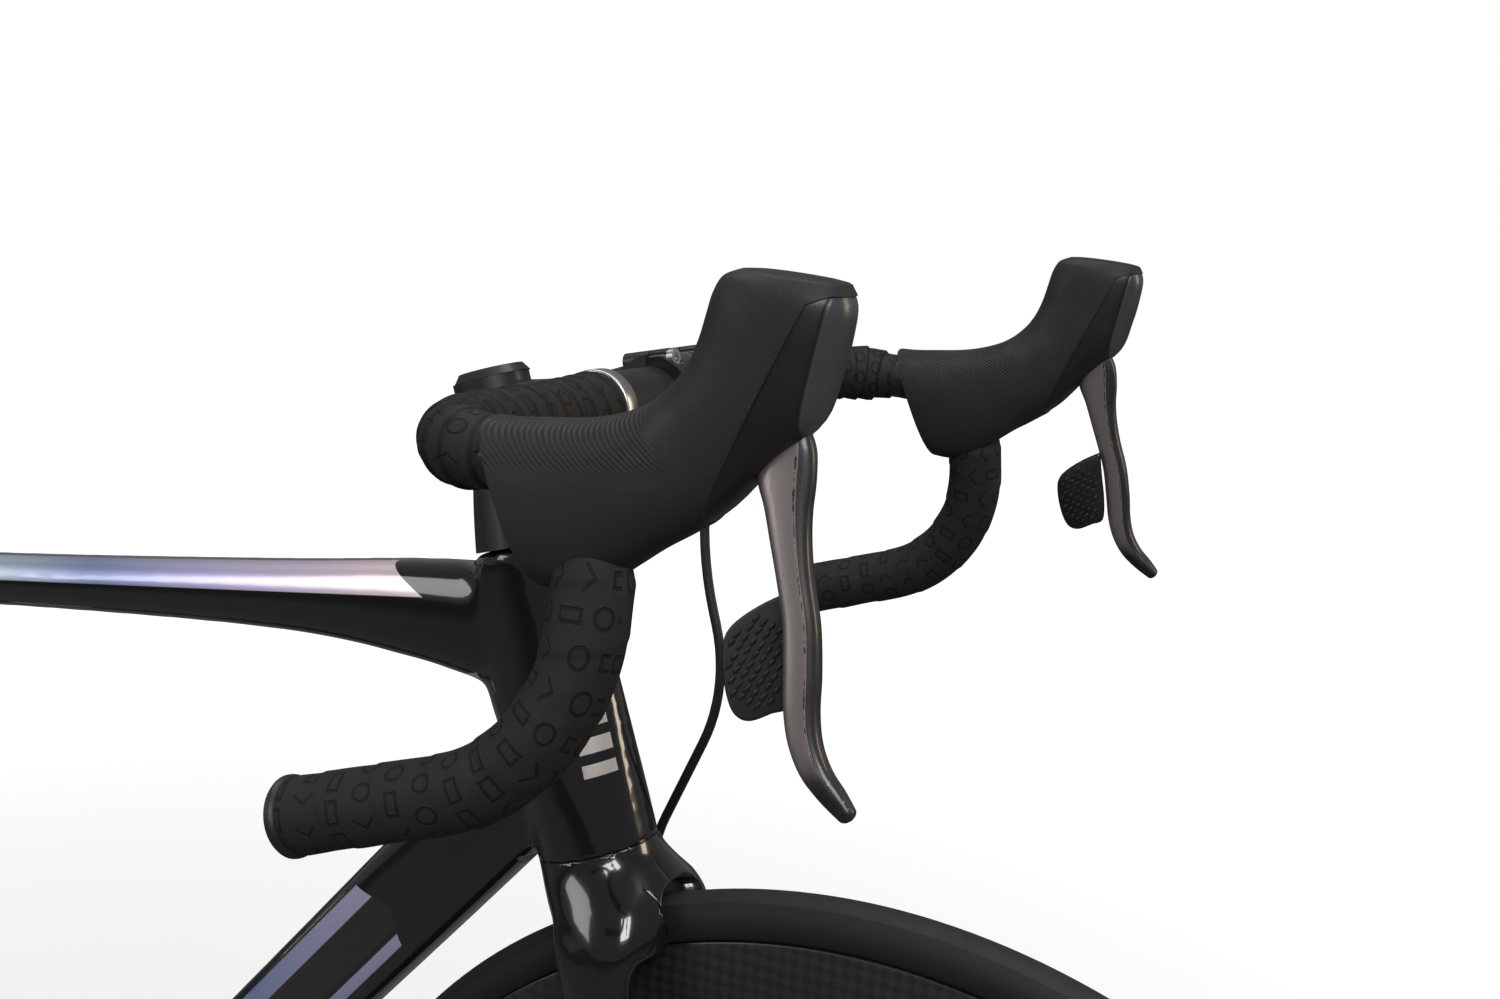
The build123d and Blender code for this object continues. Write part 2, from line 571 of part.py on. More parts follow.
def lever_tilt(shape):
    """Blade plane leans outward toward its tip, about the pivot axis line."""
    return Pos(pivot[0], lever_y, pivot[1]) * Rot(lever_lean, 0, 0) * Pos(-pivot[0], 0, -pivot[1]) * shape


def brake_lever():
    front_edge = [(622, 661), (627, 654), (628, 640), (628, 628), (631, 612), (636, 596), (638, 577), (639, 564),
                  (644, 553), (650, 545), (654, 541), (653, 537)]
    back_edge = [(610, 661), (608, 650), (609, 641), (613, 631), (618, 616), (622, 604), (625, 588), (626, 572),
                 (629, 560), (635, 549), (643, 540), (649, 536)]
    blade = prism(front_edge + back_edge[::-1], -5, 5)
    return lever_tilt(blade - rod((pivot[0], -9, pivot[1]), (pivot[0], 9, pivot[1]), 2.05))


def paddle():
    """Plate behind the blade, on a slim hinge barrel."""
    outline = [(620.5, 606), (610, 600), (601, 592.5), (598, 585), (600.5, 572), (604, 563.5), (609, 560.5),
               (615, 562.5), (624.5, 568), (622.5, 590)]
    barrel = rod((621.5, -7.4, 600), (625, -7.4, 566), 2.0)
    return lever_tilt(prism(outline, -8.6, -5.35) + barrel)


lever_slot = lever_tilt(prism([(597, 668), (630, 668), (640, 600), (560, 600), (585, 640)], -5.35, 5.35))
pin = lever_tilt(rod((pivot[0], -11, pivot[1]), (pivot[0], 11, pivot[1]), 2.0))
tape_left = tape()
whole = grip(cover + rear_side, 18.5)
nose = grip(cover[::-1] + nose_side, 17.5)
core = prism([(600, 690), (588, 660), (572, 642), (545, 637), (536, 622), (556, 616), (580, 628), (592, 648)],
             lever_y - 10, lever_y + 10)
bar_room = half_bar(bar_r, 0, 111)
body_left = (nose + core) - bar_room - lever_slot - whole + (core - bar_room - lever_slot) + pin
hood_left = whole - core - bar_room - lever_slot
hood_left = max(hood_left.solids(), key=lambda s: s.volume)
tape_left = tape_left - whole - core
tape_left = Compound(children=[s for s in tape_left.solids() if s.volume > 400])
body_left = body_left - hood_left
lever_left = brake_lever()
paddle_left = paddle()
save("lever_bodies", body_left, mirror_y(body_left))
save("hoods", hood_left, mirror_y(hood_left))
save("bar_tape", tape_left, mirror_y(tape_left), plug, mirror_y(plug))
save("brake_lever_left", lever_left)
save("brake_lever_right", mirror_y(lever_left))
save("shift_paddle_left", paddle_left)
save("shift_paddle_right", mirror_y(paddle_left))


# ---- drivetrain --------------------------------------------------------------------
def pitch_r(teeth):
    return chain_pitch / (2 * sin(pi / teeth))


def gear(teeth, y0, y1, bore, phase=0.0):
    """Toothed wheel about Y at the origin; phase is the angle of one roller seat."""
    r = pitch_r(teeth)
    points = []
    for i in range(teeth):
        for da, dr in ((-.30, -4.3), (.30, -4.3), (.40, .2), (.46, 3.0), (.54, 3.0), (.60, .2)):
            a = phase + 2 * pi * (i + da) / teeth
            points.append(((r + dr) * cos(a), (r + dr) * sin(a)))
    return prism(points, y0, y1) - cyl(0, 0, bore, y0 - 1, y1 + 1)


cage_length = 76.0
guide = (rear_x + 17.0, bb_drop - 102.0)


def chain_circles(angle):
    low = (guide[0] + cage_length * cos(angle), guide[1] + cage_length * sin(angle))
    return [(0.0, 0.0, pitch_r(ring_teeth), -1), (*low, pitch_r(pulley_teeth), -1),
            (*guide, pitch_r(pulley_teeth), 1), (*rear, pitch_r(17), -1)]


def belt(circles):
    """Straight runs and arcs round circles (x, z, r, turn), turn +1 anticlockwise."""
    runs, parts = [], []
    for i, (x1, z1, r1, t1) in enumerate(circles):
        x2, z2, r2, t2 = circles[(i + 1) % len(circles)]
        dx, dz, k = x2 - x1, z2 - z1, t2 * r2 - t1 * r1
        a = atan2(dz, dx) - asin(k / hypot(dx, dz))
        nx, nz = -sin(a), cos(a)
        runs.append((a, x1 - t1 * r1 * nx, z1 - t1 * r1 * nz, x2 - t2 * r2 * nx, z2 - t2 * r2 * nz))
    for i, (x, z, r, t) in enumerate(circles):
        a0, a1 = runs[i - 1][0], runs[i][0]
        parts.append((r * ((t * (a1 - a0)) % (2 * pi)), "arc", (x, z, r, t, a0)))
        a, xa, za, xb, zb = runs[i]
        parts.append((hypot(xb - xa, zb - za), "run", (xa, za, a)))
    return parts


def on_belt(parts, s):
    s = s % sum(p[0] for p in parts)
    for length, kind, data in parts:
        if s <= length:
            break
        s -= length
    if kind == "arc":
        x, z, r, t, a0 = data
        h = a0 + t * s / r
        return x + t * r * sin(h), z - t * r * cos(h)
    x, z, a = data
    return x + s * cos(a), z + s * sin(a)


def walk(parts, count):
    """Distances along the belt of pins one pitch apart in a straight line."""
    s, out = 0.0, [0.0]
    for _ in range(count):
        x, z = on_belt(parts, s)
        nxt = s + chain_pitch
        for _ in range(8):
            u, v = on_belt(parts, nxt)
            nxt += chain_pitch - hypot(u - x, v - z)
        s = nxt
        out.append(s)
    return out


def closed_chain():
    """Swing the cage until a whole even number of links closes the loop."""
    guess = radians(-62)
    parts = belt(chain_circles(guess))
    links = 2 * round(sum(p[0] for p in parts) / chain_pitch / 2)
    lo, hi = radians(-100), radians(-20)

    def miss(angle):
        parts = belt(chain_circles(angle))
        return walk(parts, links)[-1] - sum(p[0] for p in parts)

    for _ in range(40):
        mid = (lo + hi) / 2
        if (miss(lo) > 0) == (miss(mid) > 0):
            lo = mid
        else:
            hi = mid
    return (lo + hi) / 2, links


cage_angle, links = closed_chain()
circles = chain_circles(cage_angle)
parts_belt = belt(circles)
pins = [on_belt(parts_belt, s) for s in walk(parts_belt, links)[:-1]]
tension = circles[1][:2]
print("cage angle", round(degrees(cage_angle), 2), "links", links, "tension pulley", [round(v, 2) for v in tension])


def phase_at(centre, r):
    """Angle of a roller seat on a wheel: the roller nearest its pitch circle, well inside the wrap."""
    best = min(pins, key=lambda p: abs(hypot(p[0] - centre[0], p[1] - centre[1]) - r))
    near = [p for p in pins if abs(hypot(p[0] - centre[0], p[1] - centre[1]) - r) < .02] or [best]
    p = near[len(near) // 2]
    return atan2(p[1] - centre[1], p[0] - centre[0])


def chain():
    """Inner links with rollers and outer links with pins, alternating along the loop."""
    def plate(y, thick):
        side = (cyl(0, 0, 3.9, y, y + thick) + cyl(chain_pitch, 0, 3.9, y, y + thick)
                               + box(0, chain_pitch, y, y + thick, -2.9, 2.9))
        return side
    inner = plate(-1.75, .6) + plate(1.15, .6)
    outer = plate(-2.5, .65) + plate(1.85, .65)
    for x in (0.0, chain_pitch):
        inner = inner + cyl(x, 0, 3.75, -1.2, 1.2)
        outer = outer + cyl(x, 0, 1.75, -2.6, 2.6)
    for x in (0.0, chain_pitch):
        inner = inner - cyl(x, 0, 1.8, -5, 5)
    solids = []
    for i, (x, z) in enumerate(pins):
        u, v = pins[(i + 1) % len(pins)]
        place = Pos(x, chain_y, z) * Rot(0, -degrees(atan2(v - z, u - x)), 0)
        solids.append(place * (outer if i % 2 else inner))
    return solids


save("chain", *chain())
big = gear(ring_teeth, chain_y - .9, chain_y + .9, 60, phase_at((0, 0), pitch_r(ring_teeth)))
small_y = chain_y + 7
small = gear(small_ring_teeth, small_y - .9, small_y + .9, 46)
ring_bolts, ring_cut = [], []
for i in range(8):
    a = radians(45 * i + 22.5)
    ring_cut.append(cyl(53.5 * cos(a), 53.5 * sin(a), 3.6, small_y - 3, chain_y - 6))
    ring_bolts.append(cyl(53.5 * cos(a), 53.5 * sin(a), 4, small_y + 1, chain_y - 1.4)
                      if small_y + 1 < chain_y - 1.4 else cyl(53.5 * cos(a), 53.5 * sin(a), 3.6, chain_y - 2, small_y + .9))
band = ring(0, 0, 62, 47, chain_y + .9, small_y - .9)
save("chainrings", big + band + small)


def crank_right():
    """Arm, spider and hollow spindle."""
    spindle = cyl(0, 0, spindle_r, -60, 60) - cyl(0, 0, 10, -71, 61)
    arm = loft([Plane(origin=(0, -62.5, 0), x_dir=(0, 1, 0), z_dir=(1, 0, 0)) * RectangleRounded(15, 40, 6),
                Plane(origin=(80, -63.5, 0), x_dir=(0, 1, 0), z_dir=(1, 0, 0)) * RectangleRounded(13, 30, 6),
                Plane(origin=(crank_length, -65, 0), x_dir=(0, 1, 0), z_dir=(1, 0, 0))
                * RectangleRounded(13, 24, 6)])
    arm = arm + cyl(0, 0, 21, -70, -55) + cyl(crank_length, 0, 14, -71.5, -58.5)
    spider = ring(0, 0, 30, 11, -55, chain_y - .95)
    for i in range(4):
        a = radians(90 * i + 45)
        spider = spider + (Rot(0, -degrees(a), 0) * box(20, 68, -52.5, chain_y - .95, -8, 8))
    hole = cyl(crank_length, 0, 7, -80, -50)
    return spindle + ((arm + spider) - cyl(0, 0, 10, -80, -40)) - hole


def crank_left():
    arm = loft([Plane(origin=(0, 64, 0), x_dir=(0, 1, 0), z_dir=(-1, 0, 0)) * RectangleRounded(14, 38, 6),
                Plane(origin=(-80, 64, 0), x_dir=(0, 1, 0), z_dir=(-1, 0, 0)) * RectangleRounded(13, 30, 6),
                Plane(origin=(-crank_length, 65, 0), x_dir=(0, 1, 0), z_dir=(-1, 0, 0))
                * RectangleRounded(13, 24, 6)])
    arm = arm + cyl(0, 0, 20, 46, 71) + cyl(-crank_length, 0, 14, 58.5, 71.5)
    return arm - cyl(0, 0, spindle_r, 40, 60) - cyl(0, 0, 10, 59, 80) - cyl(-crank_length, 0, 7, 50, 80)




def pedal_parts(x, side):
    """Spindle threaded in the arm and the clipless body turning on it."""
    y = lambda v: side * v
    lo, hi = sorted((y(58.5), y(72)))
    axle = cyl(x, 0, 7, lo, hi)
    lo, hi = sorted((y(72), y(76)))
    axle = axle + cyl(x, 0, 8.5, lo, hi)
    lo, hi = sorted((y(76), y(124)))
    axle = axle + cyl(x, 0, 5, lo, hi)
    lo, hi = sorted((y(76.4), y(126)))
    body = cyl(x, 0, 9.5, lo, hi)
    lo, hi = sorted((y(92), y(124)))
    outline = [(x - 40, -3), (x - 34, -8), (x + 12, -9), (x + 44, -2), (x + 46, 4), (x + 12, 9), (x - 34, 7)]
    body = body + prism(outline, lo, hi)
    lo, hi = sorted((y(100), y(116)))
    body = body - prism([(x - 32, 10), (x - 32, 2), (x - 12, 2), (x - 12, 10)], lo, hi)
    body = body - prism([(x + 14, 10), (x + 14, 1), (x + 36, 1), (x + 30, 10)], lo, hi)
    lo, hi = sorted((y(70), y(124.3)))
    body = body - cyl(x, 0, 5 + running, lo, hi)
    return axle, body


axle_right, pedal_right = pedal_parts(crank_length, -1)
axle_left, pedal_left = pedal_parts(-crank_length, 1)
save("crank_right", crank_right(), axle_right)
save("crank_left", crank_left(), axle_left)
save("pedal_right", pedal_right)
save("pedal_left", pedal_left)


def cassette():
    """Sprockets in one stack on a sleeve, smallest outboard."""
    y_small = chain_y - cog_step * chain_cog
    stack = ring(0, 0, 16.5, 8 + running, y_small - 1.5, y_small + cog_step * 11 + 1.2)
    for i, teeth in enumerate(cog_teeth):
        y = y_small + cog_step * i
        phase = phase_at(rear, pitch_r(17)) if i == chain_cog else 0.0
        bore = 16 if teeth > 12 else 12
        stack = stack + gear(teeth, y - .8, y + .8, bore, phase)
    return wheel_r * stack


save("cassette", cassette())


# ---- rear derailleur ----------------------------------------------------------------
hang = (rear_x - 7.0, bb_drop - 28.0)
knuckle_y = -hub_rear / 2 - 7


swing = Vector(hang[0] - 5, knuckle_y - 8, hang[1] - 21)      # link pivot on the fixed knuckle
link_dir = Vector(.48, 0, -.877).normalized()
link_axis = Vector(.877, 0, .48).normalized()
link_length = 52.0
swing_low = swing + link_dir * link_length
cage_pivot = (guide[0] - 4.0, guide[1] + 6.0)


def barrel(at, half, r):
    return rod(at - link_axis * half, at + link_axis * half, r)


def derailleur_knuckle():
    """Body on the hanger bolt, with two ears for the link."""
    hx, hz = hang
    body = cyl(hx, hz, 8.5, knuckle_y - 14, knuckle_y - .1)
    body = body + prism([(hx - 9, hz + 2), (hx + 9, hz + 2), (hx + 13, hz - 12), (hx - 18, hz - 16)],
                        knuckle_y - 14, knuckle_y - 2)
    for side in (1, -1):
        ear = swing + link_axis * (side * 12.2)
        body = body + rod(ear - link_axis * 1.9, ear + link_axis * 1.9, 5.5)
        body = body + rod(ear - link_dir * 10, ear, 3.4)
    body = body - barrel(swing, 9.6, 7.5) - rod(swing - link_dir * 8, swing + link_dir * 12, 6.5)
    return body + barrel(swing, 13.5, 2.0)


def derailleur_link():
    """Link between the two knuckles."""
    web = rod(swing + link_dir * 2.5, swing_low - link_dir * 2.5, 6.2)
    web = web & box(-999, 999, swing.Y - 4, swing.Y + 4, -999, 999)
    body = barrel(swing, 9.3, 4.6) + barrel(swing_low, 9.3, 4.6) + web
    return body - barrel(swing, 20, 2.0 + running) - barrel(swing_low, 20, 2.0 + running)


def cage_knuckle():
    """Lower knuckle: ears for the link, and the pivot the cage turns on."""
    px, pz = cage_pivot
    hub_body = cyl(px, pz, 9.5, -76, chain_y - 8.3)
    body = hub_body
    for side in (1, -1):
        ear = swing_low + link_axis * (side * 12.2)
        body = body + rod(ear - link_axis * 1.9, ear + link_axis * 1.9, 5.5)
        body = body + rod(ear + Vector(0, 2, -2), Vector(px + side * 5, -72, pz), 3.6)
    body = body - barrel(swing_low, 9.6, 9.0) + barrel(swing_low, 13.5, 2.0)
    return body + cyl(px, pz, 4.0, chain_y - 9, chain_y - 4.9)


def pulley_cage():
    """Two plates, the pulley pins and the pivot hole."""
    px, pz = cage_pivot
    gx, gz = guide
    tx, tz = tension
    outer = cyl(gx, gz, 8, chain_y - 6.5, chain_y - 5) + cyl(tx, tz, 8, chain_y - 6.5, chain_y - 5) \
        + cyl(px, pz, 8.5, chain_y - 8, chain_y - 5)
    inner = cyl(gx, gz, 8, chain_y + 5, chain_y + 6.5) + cyl(tx, tz, 8, chain_y + 5, chain_y + 6.5)
    length, turn = hypot(tx - gx, tz - gz), degrees(atan2(tz - gz, tx - gx))
    bar_shape = Pos(gx, 0, gz) * Rot(0, -turn, 0) * box(0, length, -1, 1, -6.5, 6.5)
    outer = outer + Pos(0, chain_y - 5.75, 0) * bar_shape & box(-999, 999, chain_y - 8, chain_y - 5, -999, 999)
    inner = inner + (Pos(0, chain_y + 5.75, 0) * bar_shape & box(-999, 999, chain_y + 5, chain_y + 6.5, -999, 999))
    bolts = cyl(gx, gz, 2.5, chain_y - 6, chain_y + 6) + cyl(tx, tz, 2.5, chain_y - 6, chain_y + 6)
    return outer + inner + bolts - cyl(px, pz, 4.0 + running, chain_y - 9, chain_y - 4)


def pulley(centre):
    phase = phase_at(centre, pitch_r(pulley_teeth))
    wheel = gear(pulley_teeth, -1.0, 1.0, 2.5 + running, phase) + ring(0, 0, 6, 2.5 + running, -3.6, 3.6)
    return Pos(centre[0], chain_y, centre[1]) * wheel


save("derailleur_knuckle", derailleur_knuckle())
save("derailleur_link", derailleur_link())
save("cage_knuckle", cage_knuckle())
save("pulley_cage", pulley_cage())
save("upper_pulley", pulley(guide))
save("lower_pulley", pulley(tension))


# ---- front derailleur ----------------------------------------------------------------
def front_mech():
    """Body on the seat tube with two guide rods, and the chain cage that moves on them."""
    body = box(-42, -2, -31, -8, 108, 138) - box(-60, 10, -40, -27, 100, 112) - seat_outer
    body = max(body.solids(), key=lambda s: s.volume)
    moving = ring(0, 0, 122, 103, chain_y - 6.6, chain_y - 5.2) + ring(0, 0, 122, 92, chain_y + 4.4, chain_y + 5.6) \
        + ring(0, 0, 122, 118, chain_y - 5.4, chain_y + 4.6)
    moving = moving & prism([(0, 0), (30, 130), (-75, 130)], -60, -30)
    moving = moving + box(-27, -3, chain_y - 6, chain_y + 5.6, 120, 134)
    for x in (-21, -9):
        body = body + cyl(x, 128, 2.0, chain_y - 8, -30)
        moving = moving - cyl(x, 128, 2.0 + running, -60, -20)
    return body, moving


mech_body, mech_cage = front_mech()
save("front_derailleur", mech_body)
save("chain_guide_cage", mech_cage)
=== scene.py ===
from math import cos, hypot, pi, radians, sin, sqrt, tan

import bmesh
import bpy
from mathutils import Matrix, Vector


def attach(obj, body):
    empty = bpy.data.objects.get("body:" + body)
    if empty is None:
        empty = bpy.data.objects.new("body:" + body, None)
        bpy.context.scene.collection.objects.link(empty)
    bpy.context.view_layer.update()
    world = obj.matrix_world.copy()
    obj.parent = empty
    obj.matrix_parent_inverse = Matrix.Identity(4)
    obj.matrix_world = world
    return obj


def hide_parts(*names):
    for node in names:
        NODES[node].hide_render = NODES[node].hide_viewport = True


bl_info = {
    "name": "Road Bicycle",
    "version": (1, 0, 0),
    "blender": (4, 5, 0),
    "location": "View3D > Sidebar > Bicycle",
    "description": "Finished surfaces and studio for a drop-bar road bicycle",
    "category": "Object",
}

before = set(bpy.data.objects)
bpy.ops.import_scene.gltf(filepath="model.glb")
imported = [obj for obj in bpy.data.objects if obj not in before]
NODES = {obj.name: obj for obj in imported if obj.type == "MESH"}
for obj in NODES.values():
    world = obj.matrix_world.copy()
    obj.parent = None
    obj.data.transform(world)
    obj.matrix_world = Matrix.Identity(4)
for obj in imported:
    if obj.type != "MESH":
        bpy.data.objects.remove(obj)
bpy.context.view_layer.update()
MM = 0.001

# Driving sizes, in millimetres from the bottom bracket, and the lines that follow from them.
BB_DROP, FRONT_CENTRE, STAY, RAKE = 69, 586, 410, 45
HEAD, SEAT, STEM_RISE, DOWN_ANGLE = (radians(a) for a in (72.5, 73.5, 11.5, 47.7))
STEM_HEIGHT, STEM_LENGTH = 591, 100
DOWN_RISE = 2            # the down tube's middle line above the bottom bracket
CROWN_SEAM = 368.1       # between head tube and fork, up the steering axis
BB_BORE, POST_BORE, AXLE_BORE = 20.4, 13.9, 6.2
GROUND = -270
AXIS = Vector((-cos(HEAD), 0, sin(HEAD)))
AHEAD = Vector((sin(HEAD), 0, cos(HEAD)))
SEAT_LINE = Vector((-cos(SEAT), 0, sin(SEAT)))
STEM_DIR = Vector((cos(STEM_RISE), 0, sin(STEM_RISE)))
DOWN_DIR = Vector((cos(DOWN_ANGLE), 0, sin(DOWN_ANGLE)))
DOWN_UP = Vector((-DOWN_DIR.z, 0, DOWN_DIR.x))
FRONT = Vector((FRONT_CENTRE, 0, BB_DROP))
REAR = Vector((-sqrt(STAY ** 2 - BB_DROP ** 2), 0, BB_DROP))
FOOT = FRONT - AHEAD * RAKE
ROOM_LIGHT = 0.16
FINISHES = {}


def on_axis(s, ahead=0.0, y=0.0):
    """Point s up the steering axis."""
    return FOOT + AXIS * s + AHEAD * ahead + Vector((0, y, 0))


def on_down_tube(t):
    """Point t along the down tube's middle line."""
    return DOWN_UP * DOWN_RISE + DOWN_DIR * t


BAR = on_axis(STEM_HEIGHT) + STEM_DIR * STEM_LENGTH


# ---- shader expressions ---------------------------------------------------------------
class Wire:
    """A shader socket that takes part in Python arithmetic."""

    def __init__(self, finish, socket):
        self.finish, self.socket = finish, socket

    def math(self, operation, *others, clamp=False):
        values = dict(enumerate((self, *others)))
        return self.finish.node("ShaderNodeMath", {"operation": operation, "use_clamp": clamp}, values)

    def __add__(self, other):
        return self.math("ADD", other)

    def __radd__(self, other):
        return self.math("ADD", other)

    def __sub__(self, other):
        return self.math("SUBTRACT", other)

    def __rsub__(self, other):
        return self.finish.node("ShaderNodeMath", {"operation": "SUBTRACT"}, {0: other, 1: self})

    def __mul__(self, other):
        return self.math("MULTIPLY", other)

    def __rmul__(self, other):
        return self.math("MULTIPLY", other)

    def __truediv__(self, other):
        return self.math("DIVIDE", other)

    def __gt__(self, other):
        return self.math("GREATER_THAN", other)

    def __lt__(self, other):
        return self.math("LESS_THAN", other)

    def abs(self):
        return self.math("ABSOLUTE")

    def frac(self):
        return self.math("FRACT")

    def low(self, other):
        return self.math("MINIMUM", other)

    def high(self, other):
        return self.math("MAXIMUM", other)

    def step(self, start, end):
        """0 before start, 1 after end, smooth between."""
        return self.finish.node("ShaderNodeMapRange", {"interpolation_type": "SMOOTHSTEP"},
                                {"Value": self, "From Min": start, "From Max": end})


class Finish:
    """One material: a Principled shader and the expressions that feed it."""

    def __init__(self, name, **constants):
        self.material = bpy.data.materials.new(name)
        self.material.use_nodes = True
        self.tree = self.material.node_tree
        self.shader = self.tree.nodes["Principled BSDF"]
        self.set(**constants)
        self.axes = None

    def set(self, **values):
        for key, value in values.items():
            self.feed(self.shader.inputs[key.replace("_", " ")], value)

    def feed(self, socket, value):
        if isinstance(value, Wire):
            self.tree.links.new(value.socket, socket)
        elif isinstance(value, tuple) and socket.type == "RGBA" and len(value) == 3:
            socket.default_value = (*value, 1)
        else:
            socket.default_value = value

    def node(self, kind, settings=None, inputs=None, out=0):
        made = self.tree.nodes.new(kind)
        for key, value in (settings or {}).items():
            if key == "stops":
                ramp = made.color_ramp
                while len(ramp.elements) < len(value):
                    ramp.elements.new(0.5)
                for element, (place, colour) in zip(ramp.elements, value):
                    element.position, element.color = place, (*colour, 1)
            else:
                setattr(made, key, value)
        for key, value in (inputs or {}).items():
            self.feed(made.inputs[key], value)
        return Wire(self, made.outputs[out])

    def place(self):
        """Object position in metres, and its three parts."""
        if self.axes is None:
            at = self.node("ShaderNodeTexCoord", out="Object")
            self.axes = self.split(at, 3)
        return self.axes

    def split(self, at, count):
        """A vector socket and its first parts."""
        return (at, *(self.node("ShaderNodeSeparateXYZ", None, {"Vector": at}, out=i) for i in range(count)))

    def uv(self):
        """The piece's own UV map, and its two parts."""
        return self.split(self.node("ShaderNodeUVMap", {"uv_map": "UVMap"}), 2)

    def noise(self, scale, detail=3.0, rough=0.5, at=None):
        inputs = {"Vector": at or self.place()[0], "Scale": scale, "Detail": detail, "Roughness": rough}
        return self.node("ShaderNodeTexNoise", None, inputs)

    def stretch(self, *scale):
        return self.node("ShaderNodeMapping", None, {"Vector": self.place()[0], "Scale": scale})

    def mix(self, factor, a, b):
        return self.node("ShaderNodeMix", {"data_type": "RGBA"}, {0: factor, 6: a, 7: b}, out=2)

    def ramp(self, value, stops):
        return self.node("ShaderNodeValToRGB", {"stops": stops}, {0: value})

    def bump(self, height, strength=0.3, depth=0.001):
        inputs = {"Height": height, "Strength": strength, "Distance": depth}
        self.set(Normal=self.node("ShaderNodeBump", None, inputs))


def crossed(x, z, rate):
    """Two sets of diagonal waves multiplied, as in a woven cloth."""
    return ((x + z) * rate).math("SINE") * ((x - z) * rate).math("SINE")


def tint(base, amount):
    return tuple(min(1, c * amount) for c in base)


# ---- mesh helpers -----------------------------------------------------------------------
def piece(name, verts, faces, finish, body, smooth=True, slot=None):
    mesh = bpy.data.meshes.new(name)
    mesh.from_pydata([tuple(Vector(v) * MM) for v in verts], [], faces)
    mesh.update()
    obj = bpy.data.objects.new(name, mesh)
    bpy.context.scene.collection.objects.link(obj)
    dress(obj, finish)
    if smooth:
        shade_smooth(obj)
    if body:
        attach(obj, body)
    return obj


def shade_smooth(obj):
    obj.data.polygons.foreach_set("use_smooth", [True] * len(obj.data.polygons))
    return obj


def dress(obj, finish):
    obj.data.materials.clear()
    obj.data.materials.append(finish.material)
    return obj


def outward(obj):
    """Merge doubles and turn the faces out."""
    work = bmesh.new()
    work.from_mesh(obj.data)
    bmesh.ops.remove_doubles(work, verts=work.verts, dist=1e-6)
    bmesh.ops.recalc_face_normals(work, faces=work.faces)
    work.to_mesh(obj.data)
    work.free()
    return obj


def skin(rings, closed=True, caps=True, loop=False):
    """Vertices and faces of a surface through rings of points."""
    n, count = len(rings[0]), len(rings)
    verts = [Vector(p) for ring in rings for p in ring]
    faces = []
    for i in range(count if loop else count - 1):
        for j in range(n if closed else n - 1):
            a, b = i * n + j, i * n + (j + 1) % n
            c, d = ((i + 1) % count) * n + (j + 1) % n, ((i + 1) % count) * n + j
            faces.append((a, b, c, d))
    if caps and not loop:
        for ring, base, flip in ((rings[0], 0, True), (rings[-1], (count - 1) * n, False)):
            centre = sum((Vector(p) for p in ring), Vector()) / n
            verts.append(centre)
            k = len(verts) - 1
            for j in range(n):
                a, b = base + j, base + (j + 1) % n
                faces.append((b, a, k) if flip else (a, b, k))
    return verts, faces


def about_axle(profile, centre, count):
    """Copies of a (radius, y) outline round a wheel's axle."""
    rings = []
    for i in range(count):
        a = 2 * pi * i / count
        rings.append([(centre.x + r * cos(a), y, centre.z + r * sin(a)) for r, y in profile])
    return rings


def oval(centre, u, v, count=32, power=2.0):
    """Closed superellipse in the plane of u and v, whose lengths are its half sizes."""
    out = []
    for i in range(count):
        a = 2 * pi * i / count
        c, s = cos(a), sin(a)
        k = 2 / power
        out.append(Vector(centre) + Vector(u) * (abs(c) ** k * (1 if c > 0 else -1))
                   + Vector(v) * (abs(s) ** k * (1 if s > 0 else -1)))
    return out


def spread(rows, steps):
    """Catmull-Rom through rows of numbers, steps points in each gap."""
    out = []
    for i in range(len(rows) - 1):
        p0, p1, p2, p3 = rows[max(i - 1, 0)], rows[i], rows[i + 1], rows[min(i + 2, len(rows) - 1)]
        for k in range(steps):
            t = k / steps
            out.append(tuple(.5 * (2 * b + (c - a) * t + (2 * a - 5 * b + 4 * c - d) * t * t
                                   + (3 * b - a - 3 * c + d) * t ** 3) for a, b, c, d in zip(p0, p1, p2, p3)))
    out.append(tuple(rows[-1]))
    return out


def subdivide(obj, levels=1):
    mod = obj.modifiers.new("smooth", "SUBSURF")
    mod.levels = mod.render_levels = levels
    return obj


def bake_modifiers(obj):
    depsgraph = bpy.context.evaluated_depsgraph_get()
    mesh = bpy.data.meshes.new_from_object(obj.evaluated_get(depsgraph))
    obj.modifiers.clear()
    obj.data = mesh
    return obj


def joined(name, parts, finish, body, slot=None):
    """One piece from several (verts, faces) lists."""
    verts, faces = [], []
    for v, f in parts:
        base = len(verts)
        verts += list(v)
        faces += [tuple(base + i for i in face) for face in f]
    return piece(name, verts, faces, finish, body, slot=slot)


def mirrored(part):
    verts, faces = part
    return [Vector((v[0], -v[1], v[2])) for v in verts], [tuple(reversed(f)) for f in faces]


def unify(obj, voxel, rounds, factor=0.5):
    """Melts crossing tubes into one smooth shell."""
    mod = obj.modifiers.new("melt", "REMESH")
    mod.mode, mod.voxel_size, mod.use_smooth_shade = "VOXEL", voxel * MM, True
    mod = obj.modifiers.new("ease", "SMOOTH")
    mod.iterations, mod.factor = rounds, factor
    bake_modifiers(obj)
    return shade_smooth(obj)


def carve(obj, tool):
    """Subtracts tool from obj and removes it."""
    mod = obj.modifiers.new("carve", "BOOLEAN")
    mod.operation, mod.object, mod.solver = "DIFFERENCE", tool, "EXACT"
    bake_modifiers(obj)
    bpy.data.objects.remove(tool)
    return obj


